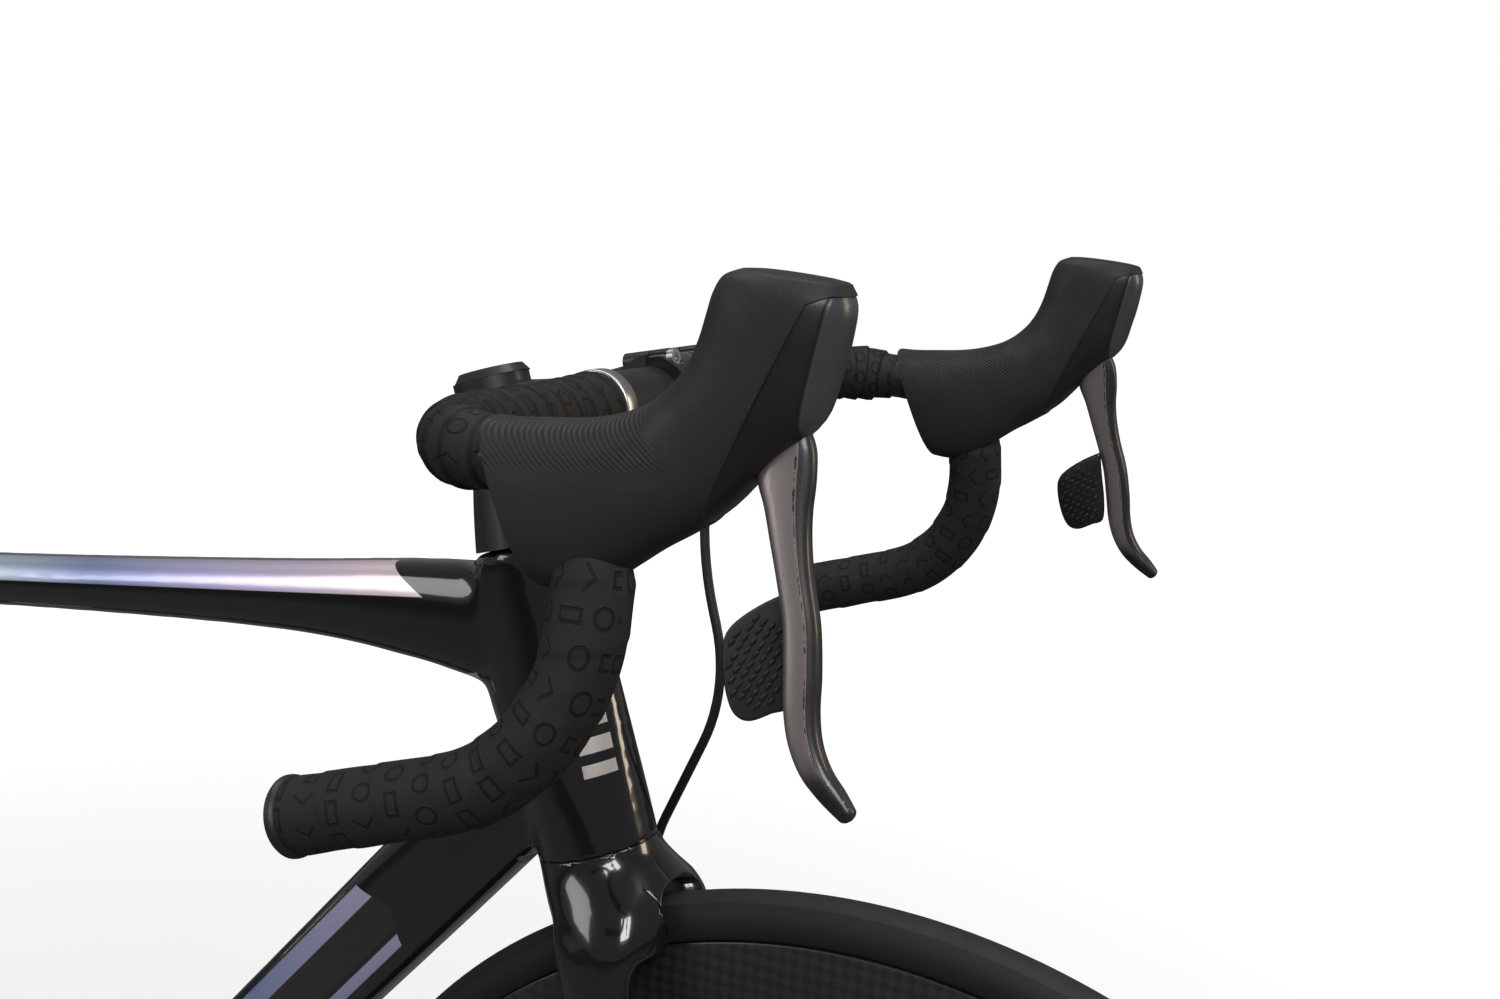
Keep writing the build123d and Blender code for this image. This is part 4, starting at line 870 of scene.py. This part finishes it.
class BICYCLE_OT_levers(bpy.types.Operator):
    """Brake lever blades"""
    bl_idname = "bicycle.levers"
    bl_label = "Brake levers"

    def execute(self, context):
        for side, word in ((1, "left"), (-1, "right")):
            rows = spread(BLADE, 5)
            count = 32
            rings = []
            for fx, fz, rx, rz, t in rows:
                front, rear = Vector((fx, 0, fz)), Vector((rx, 0, rz))
                centre, half = (front + rear) / 2, (front - rear) / 2
                rings.append([tilted(p) for p in oval(centre, half, Vector((0, t, 0)), count, 2.9)])
            domed(rings, 2.4, 3)
            verts, faces = skin(rings)
            if side < 0:
                verts, faces = mirrored((verts, faces))
            obj = piece("brake_blade_" + word, verts, faces, FINISHES["blade"], None)
            layer = obj.data.uv_layers.new(name="UVMap")
            for poly in obj.data.polygons:
                for loop in poly.loop_indices:
                    k = obj.data.loops[loop].vertex_index
                    j = k % count if k < len(rings) * count else 0
                    a = 2 * pi * j / count
                    layer.data[loop].uv = (min(k // count, len(rings)) / len(rings), 0.5 + 0.5 * cos(a))
            outward(obj)
            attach(obj, "brake_lever_" + word)
            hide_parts("brake_lever_" + word)
        return {"FINISHED"}


def ridge_tree(finish):
    """Geometry nodes: one raised scale on every point of a mesh."""
    tree = bpy.data.node_groups.new("paddle_ridges", "GeometryNodeTree")
    tree.interface.new_socket("Geometry", in_out="INPUT", socket_type="NodeSocketGeometry")
    size = tree.interface.new_socket("Ridge length", in_out="INPUT", socket_type="NodeSocketFloat")
    tree.interface.new_socket("Geometry", in_out="OUTPUT", socket_type="NodeSocketGeometry")
    n, link = tree.nodes, tree.links.new
    start, end = n.new("NodeGroupInput"), n.new("NodeGroupOutput")
    bead = n.new("GeometryNodeMeshUVSphere")
    bead.inputs["Segments"].default_value, bead.inputs["Rings"].default_value = 8, 5
    bead.inputs["Radius"].default_value = 0.5
    flat = n.new("GeometryNodeTransform")
    flat.inputs["Scale"].default_value = (0.42, 0.30, 1.0)
    flat.inputs["Rotation"].default_value = (0, radians(32), 0)
    link(bead.outputs["Mesh"], flat.inputs["Geometry"])
    put = n.new("GeometryNodeInstanceOnPoints")
    link(start.outputs["Geometry"], put.inputs["Points"])
    link(flat.outputs["Geometry"], put.inputs["Instance"])
    link(start.outputs["Ridge length"], put.inputs["Scale"])
    real = n.new("GeometryNodeRealizeInstances")
    link(put.outputs["Instances"], real.inputs["Geometry"])
    paint = n.new("GeometryNodeSetMaterial")
    paint.inputs["Material"].default_value = finish.material
    link(real.outputs["Geometry"], paint.inputs["Geometry"])
    link(paint.outputs["Geometry"], end.inputs["Geometry"])
    return tree, size.identifier


def grown(obj, tree, values):
    """Runs a geometry tree on obj and keeps the plain mesh."""
    mod = obj.modifiers.new("grow", "NODES")
    mod.node_group = tree
    for key, value in values.items():
        mod[key] = value
    obj.update_tag()
    bpy.context.view_layer.update()
    return bake_modifiers(obj)


# Side outline of the shift paddle.
PADDLE = [(621.5, 607), (612, 601.5), (603.5, 595.0), (598.8, 589), (598.3, 582), (600.3, 572), (603.4, 564.5),
          (607.0, 561.0), (612, 560.8), (619, 564.5), (624.8, 568.0), (625.0, 580), (623.0, 594)]


class BICYCLE_OT_paddles(bpy.types.Operator):
    """Shift paddles with rows of raised ridges"""
    bl_idname = "bicycle.paddles"
    bl_label = "Shift paddles"

    def execute(self, context):
        tree, key = ridge_tree(FINISHES["paddle"])
        outline = spread([*PADDLE, PADDLE[0]], 4)[:-1]
        for side, word in ((1, "left"), (-1, "right")):
            # plate on the blade's inner side for the left hand: inner is -y
            cx = sum(p[0] for p in outline) / len(outline)
            cz = sum(p[1] for p in outline) / len(outline)
            rings = []
            for y, k in ((-5.5, .94), (-5.6, .985), (-6.4, 1.0), (-7.6, .985), (-8.3, .93)):
                rings.append([tilted((cx + (x - cx) * k, y, cz + (z - cz) * k)) for x, z in outline])
            plate = skin(rings)
            dots = []
            for row in range(10):
                for col in range(7):
                    x = 600.0 + col * 3.1 + (row % 2) * 1.5
                    z = 598 - row * 4.0 - col * 0.9
                    inside = all((bx - ax) * (z - az) - (bz - az) * (x - ax) > 2.2 * hypot(bx - ax, bz - az)
                                 for (ax, az), (bx, bz) in zip(outline, outline[1:] + outline[:1]))
                    if inside and x + (600 - z) * -0.36 < 618 - (600 - z) * 0.1:
                        dots.append((x, z))
            made = []
            for y in (-8.35, -5.45):
                verts = [tilted((x, y, z)) for x, z in dots]
                if side < 0:
                    verts = [Vector((v.x, -v.y, v.z)) for v in verts]
                made += verts
            plate = plate if side > 0 else mirrored(plate)
            obj = outward(piece("paddle_plate_" + word, *plate, FINISHES["paddle"], None))
            dots_obj = piece("paddle_ridges_" + word, made, [], FINISHES["paddle"], None)
            grown(dots_obj, tree, {key: settings().paddle_scale})
            dress(dots_obj, FINISHES["paddle"])
            shade_smooth(dots_obj)
            for o in (obj, dots_obj):
                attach(o, "shift_paddle_" + word)
            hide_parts("shift_paddle_" + word)
        return {"FINISHED"}


def bar_line(start=0.0, step=2.0):
    """Points along one half of the bar's centre line, left side, with its bends."""
    points = [BAR + Vector(p) for p in ((0, start, 0), (0, 200, 0), (84.5, 206, -3), (84.5, 228, -107),
                                        (-31.3, 232, -144.3))]
    bends = [38, 36, 74]
    out, cursor = [], points[0]
    for i in range(1, len(points) - 1):
        a, b, c = points[i - 1], points[i], points[i + 1]
        u, v = (a - b).normalized(), (c - b).normalized()
        turn = pi - u.angle(v)
        reach = bends[i - 1] * tan(turn / 2)
        p, q = b + u * reach, b + v * reach
        centre = b + (u + v).normalized() * (bends[i - 1] / cos(turn / 2))
        n = max(2, int((p - cursor).length / step))
        out += [cursor.lerp(p, k / n) for k in range(n)]
        m = max(4, int(turn * bends[i - 1] / step))
        e1, e2 = p - centre, q - centre
        for k in range(m):
            out.append(centre + Matrix.Rotation(turn * (k / m), 3, e1.cross(e2).normalized()) @ e1)
        cursor = q
    n = max(2, int((points[-1] - cursor).length / step))
    out += [cursor.lerp(points[-1], k / n) for k in range(n + 1)]
    return out


def frames_along(path):
    """Side and up vectors carried along a path without twist."""
    frames = []
    side = Vector((0, 0, 1))
    for i in range(len(path)):
        d = (path[min(i + 1, len(path) - 1)] - path[max(i - 1, 0)]).normalized()
        side = (side - d * side.dot(d)).normalized()
        frames.append((d, side, d.cross(side)))
    return frames


TAPE_START, TAPE_R = 70.0, 16
TAPE_SMOOTH = 185.0      # past this length the turns lie flatter and wider apart


class BICYCLE_OT_tape(bpy.types.Operator):
    """Bar tape wound in overlapping turns, with finishing bands and end plugs"""
    bl_idname = "bicycle.tape"
    bl_label = "Bar tape"

    def execute(self, context):
        pitch = settings().tape_turn / MM
        line = bar_line(TAPE_START, 1.05)
        frames = frames_along(line)
        count = 56
        length, turns = [0.0], [0.0]
        for a, b in zip(line, line[1:]):
            length.append(length[-1] + (b - a).length)
        total = length[-1]
        for a, b in zip(length, length[1:]):
            close = min(1, max(0, (TAPE_SMOOTH - a) / 30))
            turns.append(turns[-1] + (b - a) / (pitch * (1.45 - 0.85 * close)))
        rings, wraps = [], []
        for s, wound, p, (_, u, w) in zip(length, turns, line, frames):
            base = 17.4 - 2.0 * min(1, s / 45)
            tops = min(1, max(0, (TAPE_SMOOTH - s) / 30))
            swell = 0.2 * sin(s * 0.21) + 0.15 * sin(s * 0.083 + 1)
            fade = min(1, s / 6) * min(1, (total - s) / 5)
            under = min(1, max(0, (p.x - BAR.x - 22) / 16)) * min(1, max(0, (p.z - 601) / 9))
            base -= 3.6 * under      # thinner where the hood covers it
            ring = []
            for j in range(count):
                a = 2 * pi * j / count
                turn = (wound + a / (2 * pi)) % 1.0
                lip = (turn if turn < 0.92 else (1 - turn) * 11.5) * (0.55 + 0.85 * tops)
                wraps.append(min(turn, 1 - turn) + 0.5 * (1 - tops))
                r = base - 0.75 + lip + swell * 0.5 * (1 + sin(a * 2 + s * .05)) * .6
                r = r if fade >= 1 else (base - 1.6) + (r - base + 1.6) * fade
                ring.append(p + u * (cos(a) * r) + w * (sin(a) * r))
            rings.append(ring)
        half = skin(rings)
        girth = 2 * pi * TAPE_R * MM
        uvs = [(s * MM, j / count * 2 * pi * TAPE_R * MM) for s in length for j in range(count)]
        uvs = (uvs + [(0, 0), (total * MM, 0)]) * 2
        obj = joined("bar_tape_wrap", [half, mirrored(half)], FINISHES["tape"], None)
        layer = obj.data.uv_layers.new(name="UVMap")
        for poly in obj.data.polygons:
            values = [uvs[obj.data.loops[i].vertex_index] for i in poly.loop_indices]
            high = max(v for _, v in values) > girth * 0.9
            for loop, (a, b) in zip(poly.loop_indices, values):
                layer.data[loop].uv = (a, b + (girth if high and b < girth * 0.1 else 0))
        # distance to the nearest edge of a turn, which the finish darkens as painted shade (the two end caps
        # repeat values)
        wrap_data = obj.data.attributes.new("wrap", "FLOAT", "POINT")
        wrap_data.data.foreach_set("value", (wraps + wraps[:2]) * 2)
        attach(obj, "steering")
        # bands where the tape ends beside the stem, plugs in the bar ends
        ring = [(65.5, 16.0), (65.5, 17.6), (66.2, 18.0), (73.8, 18.0), (74.5, 17.6), (74.5, 16.0)]
        bands = [skin([oval((BAR.x, side * y, BAR.z), (r, 0, 0), (0, 0, r), 56) for y, r in ring], loop=True)
                 for side in (1, -1)]
        shape = [(-2, 14.6), (0.0, 16.0), (1.2, 16.0), (2.3, 15.2), (2.9, 13), (2.4, 8), (1.6, 3)]
        end, (d, u, w) = line[-1], frames[-1]
        part = skin([oval(end + d * a, u * r, w * r, 48) for a, r in shape])
        band = joined("finishing_bands", bands, FINISHES["silver"], "steering", "black_alloy")
        outward(band)
        plug = joined("bar_plugs", [part, mirrored(part)], FINISHES["plastic"], "steering", "black_plastic")
        outward(plug)
        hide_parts("bar_tape")
        return {"FINISHED"}


class BICYCLE_OT_hose(bpy.types.Operator):
    """Front brake hose from the bar to the caliper"""
    bl_idname = "bicycle.hose"
    bl_label = "Brake hose"

    def execute(self, context):
        dress(NODES["front_hose"], FINISHES["hose"])
        return {"FINISHED"}


def spun(profile, centre, count=240):
    """Surface of a closed (radius, y) outline turned about the wheel axle."""
    return skin(about_axle(profile, centre, count), caps=False, loop=True)


class BICYCLE_OT_wheels(bpy.types.Operator):
    """Tyres, deep rims, spokes, hubs and discs"""
    bl_idname = "bicycle.wheels"
    bl_label = "Wheels"

    def execute(self, context):
        centre_r, r, wall = 325.2, 13.8, 2.4
        angles = [radians(-126 + 252 * i / 40) for i in range(41)]
        outer, inner = ([(centre_r + k * cos(a), k * sin(a)) for a in angles] for k in (r, r - wall))
        tyre = outer + inner[::-1]
        half = spread([(317, 10.6), (317.2, 12.4), (316.4, 13.3), (308, 13.9), (298, 14.0), (287, 12.4),
                       (277, 8.6), (271, 5.0), (268.6, 2.0), (268.2, 0)], 4)
        well = [(305.2, 6), (308, 10.2), (316, 10.4)]
        far = [(a, -b) for a, b in reversed(half[:-1])] + [(a, -b) for a, b in reversed(well)]
        rim = [(305.0, 0)] + well + half + far
        for word, centre in (("front", FRONT), ("rear", REAR)):
            body = word + "_wheel"
            obj = joined(word + "_tyre_tread", [spun(tyre, centre)], FINISHES["tyre"], body, "tyre")
            outward(obj)
            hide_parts(word + "_tyre")
            obj = joined(word + "_rim_shell", [spun(rim, centre)], FINISHES["rim"], body, "carbon_satin")
            outward(obj)
            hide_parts(word + "_rim")
            dress(NODES[word + "_spokes"], FINISHES["spoke"])
            dress(NODES[word + "_hub"], FINISHES["satin"])
            dress(NODES[word + "_rotor"], FINISHES["disc"])
        return {"FINISHED"}


class BICYCLE_OT_saddle(bpy.types.Operator):
    """Padded saddle on its rails"""
    bl_idname = "bicycle.saddle"
    bl_label = "Saddle"

    def execute(self, context):
        top = SEAT_LINE * 662
        rows = spread([(137, 9, 4.5, 34.5), (133, 14, 8.5, 34), (120, 18, 11.5, 33.2), (60, 21, 14, 33.5),
                       (0, 31, 14, 34.5), (-55, 53, 13.5, 38), (-100, 68.5, 13.0, 41), (-126, 65, 10.6, 43),
                       (-138, 46, 6.5, 44)], 6)
        rings = []
        for x, hy, hz, z in rows:
            ring = []
            for p in oval((0, 0, 0), (0, hy, 0), (0, 0, hz), 48, 2.35):
                if p.z > 0:
                    dip = 3.2 * max(0, 1 - (abs(p.y) / 11) ** 2) * min(1, max(0, (120 - abs(x + 5)) / 40))
                    p = Vector((p.x, p.y, p.z - dip))
                else:
                    edge = (abs(p.y) / hy) ** 3
                    p = Vector((p.x, p.y, p.z * (0.25 + 0.75 * edge) - 3.0 * edge * min(1, hz / 12)))
                ring.append(Vector((top.x + x, p.y, top.z + z + p.z)))
            rings.append(ring)
        obj = joined("saddle_shell", [skin(rings)], FINISHES["leather"], None)
        outward(obj)
        subdivide(obj)
        bake_modifiers(obj)
        shade_smooth(obj)
        dress(obj, FINISHES["leather"])
        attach(obj, "saddle_and_post")
        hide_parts("saddle")
        dress(NODES["saddle_rails"], FINISHES["steel"])
        dress(NODES["seatpost"], FINISHES["satin"])
        return {"FINISHED"}


class BICYCLE_OT_fittings(bpy.types.Operator):
    """Finishes for the parts whose shape comes from the CAD model"""
    bl_idname = "bicycle.fittings"
    bl_label = "Fittings and drivetrain"

    def execute(self, context):
        for finish, names in (
                ("satin", "stem stem_cap headset_cone handlebar seat_clamp rear_axle front_axle bottle_bosses "
                          "front_derailleur"),
                ("gloss_alloy", "stem_faceplate front_caliper rear_caliper derailleur_knuckle cage_knuckle"),
                ("lacquer", "crank_right crank_left"),
                ("steel", "stem_bolts front_pad_left front_pad_right rear_pad_left rear_pad_right cassette "
                          "chain"),
                ("chainwheel", "chainrings derailleur_link pulley_cage chain_guide_cage"),
                ("plastic", "upper_pulley lower_pulley pedal_left pedal_right")):
            for name in names.split():
                dress(NODES[name], FINISHES[finish])
        return {"FINISHED"}


# The photograph's camera: place in metres, yaw, pitch and roll in degrees, lens on a 36 mm sensor.
CAMERA_AT, CAMERA_TURN, CAMERA_LENS = (0.84197, -0.71922, 0.73542), (24.99, 10.083, 3.091), 40.93


class BICYCLE_OT_studio(bpy.types.Operator):
    """Floor, soft lights and camera"""
    bl_idname = "bicycle.studio"
    bl_label = "Studio"

    def execute(self, context):
        # the floor shows the camera a bright gradient, and is dark to every other ray
        f = Finish("studio_floor", Roughness=0.9, Specular_IOR_Level=0.1, Emission_Strength=1.0)
        _, x, y, _ = f.place()
        base = tuple(settings().floor_colour)
        far = (x * x + y * y).math("SQRT").step(0.8, 3.0)
        f.set(Base_Color=f.mix(f.noise(3, 2) * 0.3, base, tint(base, 0.985)),
              Emission_Color=f.mix(far, (0.66, 0.66, 0.66), (1, 1, 1)))
        shown = f.node("ShaderNodeLightPath", out="Is Camera Ray")
        dark = f.node("ShaderNodeBsdfDiffuse", None, {"Color": (0.16, 0.16, 0.16)})
        both = f.node("ShaderNodeMixShader", None, {0: shown, 1: dark, 2: Wire(f, f.shader.outputs[0])})
        f.feed(f.tree.nodes["Material Output"].inputs["Surface"], both)
        reach = 9000
        verts = [(a * reach, b * reach, GROUND) for a, b in ((-1, -1), (1, -1), (1, 1), (-1, 1))]
        floor = piece("studio_floor", verts, [(0, 1, 2, 3)], f, None, smooth=False)
        world = bpy.data.worlds.new("studio")
        context.scene.world = world
        world.use_nodes = True
        tree = world.node_tree
        dim = tree.nodes["Background"]
        dim.inputs["Color"].default_value = (1, 1, 1, 1)
        dim.inputs["Strength"].default_value = ROOM_LIGHT
        white = tree.nodes.new("ShaderNodeBackground")
        white.inputs["Color"].default_value = (1, 1, 1, 1)
        path, pick = tree.nodes.new("ShaderNodeLightPath"), tree.nodes.new("ShaderNodeMixShader")
        tree.links.new(path.outputs["Is Camera Ray"], pick.inputs[0])
        tree.links.new(dim.outputs[0], pick.inputs[1])
        tree.links.new(white.outputs[0], pick.inputs[2])
        tree.links.new(pick.outputs[0], tree.nodes["World Output"].inputs["Surface"])

        def lamp(name, place, target, size, power, tone=(1, 1, 1)):
            data = bpy.data.lights.new(name, "AREA")
            data.shape, data.energy, data.color = "RECTANGLE", power, tone
            data.size, data.size_y = size
            obj = bpy.data.objects.new(name, data)
            context.scene.collection.objects.link(obj)
            obj.location = place
            obj.rotation_euler = (Vector(target) - Vector(place)).to_track_quat("-Z", "Y").to_euler()

        lamp("key_softbox", (1.9, -2.0, 2.3), (0.45, 0, 0.55), (1.6, 1.2), 60)
        lamp("fill_softbox", (-1.9, -2.4, 1.6), (0.3, 0, 0.4), (1.4, 2.0), 26)
        lamp("top_strip", (0.2, 0.3, 2.9), (0.2, 0, 0.4), (3.0, 0.8), 34)
        lamp("warm_kicker", (2.6, 1.4, 1.2), (0.5, 0, 0.4), (0.5, 1.2), 12, (1, .82, .62))
        yaw, pitch, roll = (radians(a) for a in CAMERA_TURN)
        ahead = Vector((-sin(yaw) * cos(pitch), cos(yaw) * cos(pitch), -sin(pitch)))
        right0 = Vector((cos(yaw), sin(yaw), 0))
        up0 = right0.cross(ahead)
        right = right0 * cos(roll) + up0 * sin(roll)
        up = up0 * cos(roll) - right0 * sin(roll)
        data = bpy.data.cameras.new("view")
        data.sensor_width, data.lens, data.clip_end = 36, CAMERA_LENS, 100
        camera = bpy.data.objects.new("view", data)
        context.scene.collection.objects.link(camera)
        turn = Matrix((right, up, -ahead)).transposed().to_4x4()
        camera.matrix_world = Matrix.Translation(CAMERA_AT) @ turn
        context.scene.camera = camera
        context.scene.view_settings.view_transform = "Standard"
        return {"FINISHED"}


class BICYCLE_PT_panel(bpy.types.Panel):
    bl_idname = "BICYCLE_PT_panel"
    bl_label = "Road Bicycle"
    bl_space_type = "VIEW_3D"
    bl_region_type = "UI"
    bl_category = "Bicycle"

    def draw(self, context):
        column = self.layout.column()
        for key in BicycleSettings.__annotations__:
            column.prop(context.scene.bicycle, key)
        for operator in OPERATORS:
            column.operator(operator.bl_idname)


OPERATORS = (BICYCLE_OT_frame, BICYCLE_OT_fork, BICYCLE_OT_hoods, BICYCLE_OT_levers, BICYCLE_OT_paddles,
             BICYCLE_OT_tape, BICYCLE_OT_hose, BICYCLE_OT_wheels, BICYCLE_OT_saddle, BICYCLE_OT_fittings,
             BICYCLE_OT_studio)
CLASSES = (BicycleSettings, *OPERATORS, BICYCLE_PT_panel)


def register():
    for cls in CLASSES:
        bpy.utils.register_class(cls)
    bpy.types.Scene.bicycle = bpy.props.PointerProperty(type=BicycleSettings)


def unregister():
    del bpy.types.Scene.bicycle
    for cls in reversed(CLASSES):
        bpy.utils.unregister_class(cls)


def main():
    register()
    make_finishes()
    for operator in OPERATORS:
        getattr(bpy.ops.bicycle, operator.bl_idname.split(".")[1])()
    bpy.context.view_layer.update()


if __name__ == "__main__":
    main()
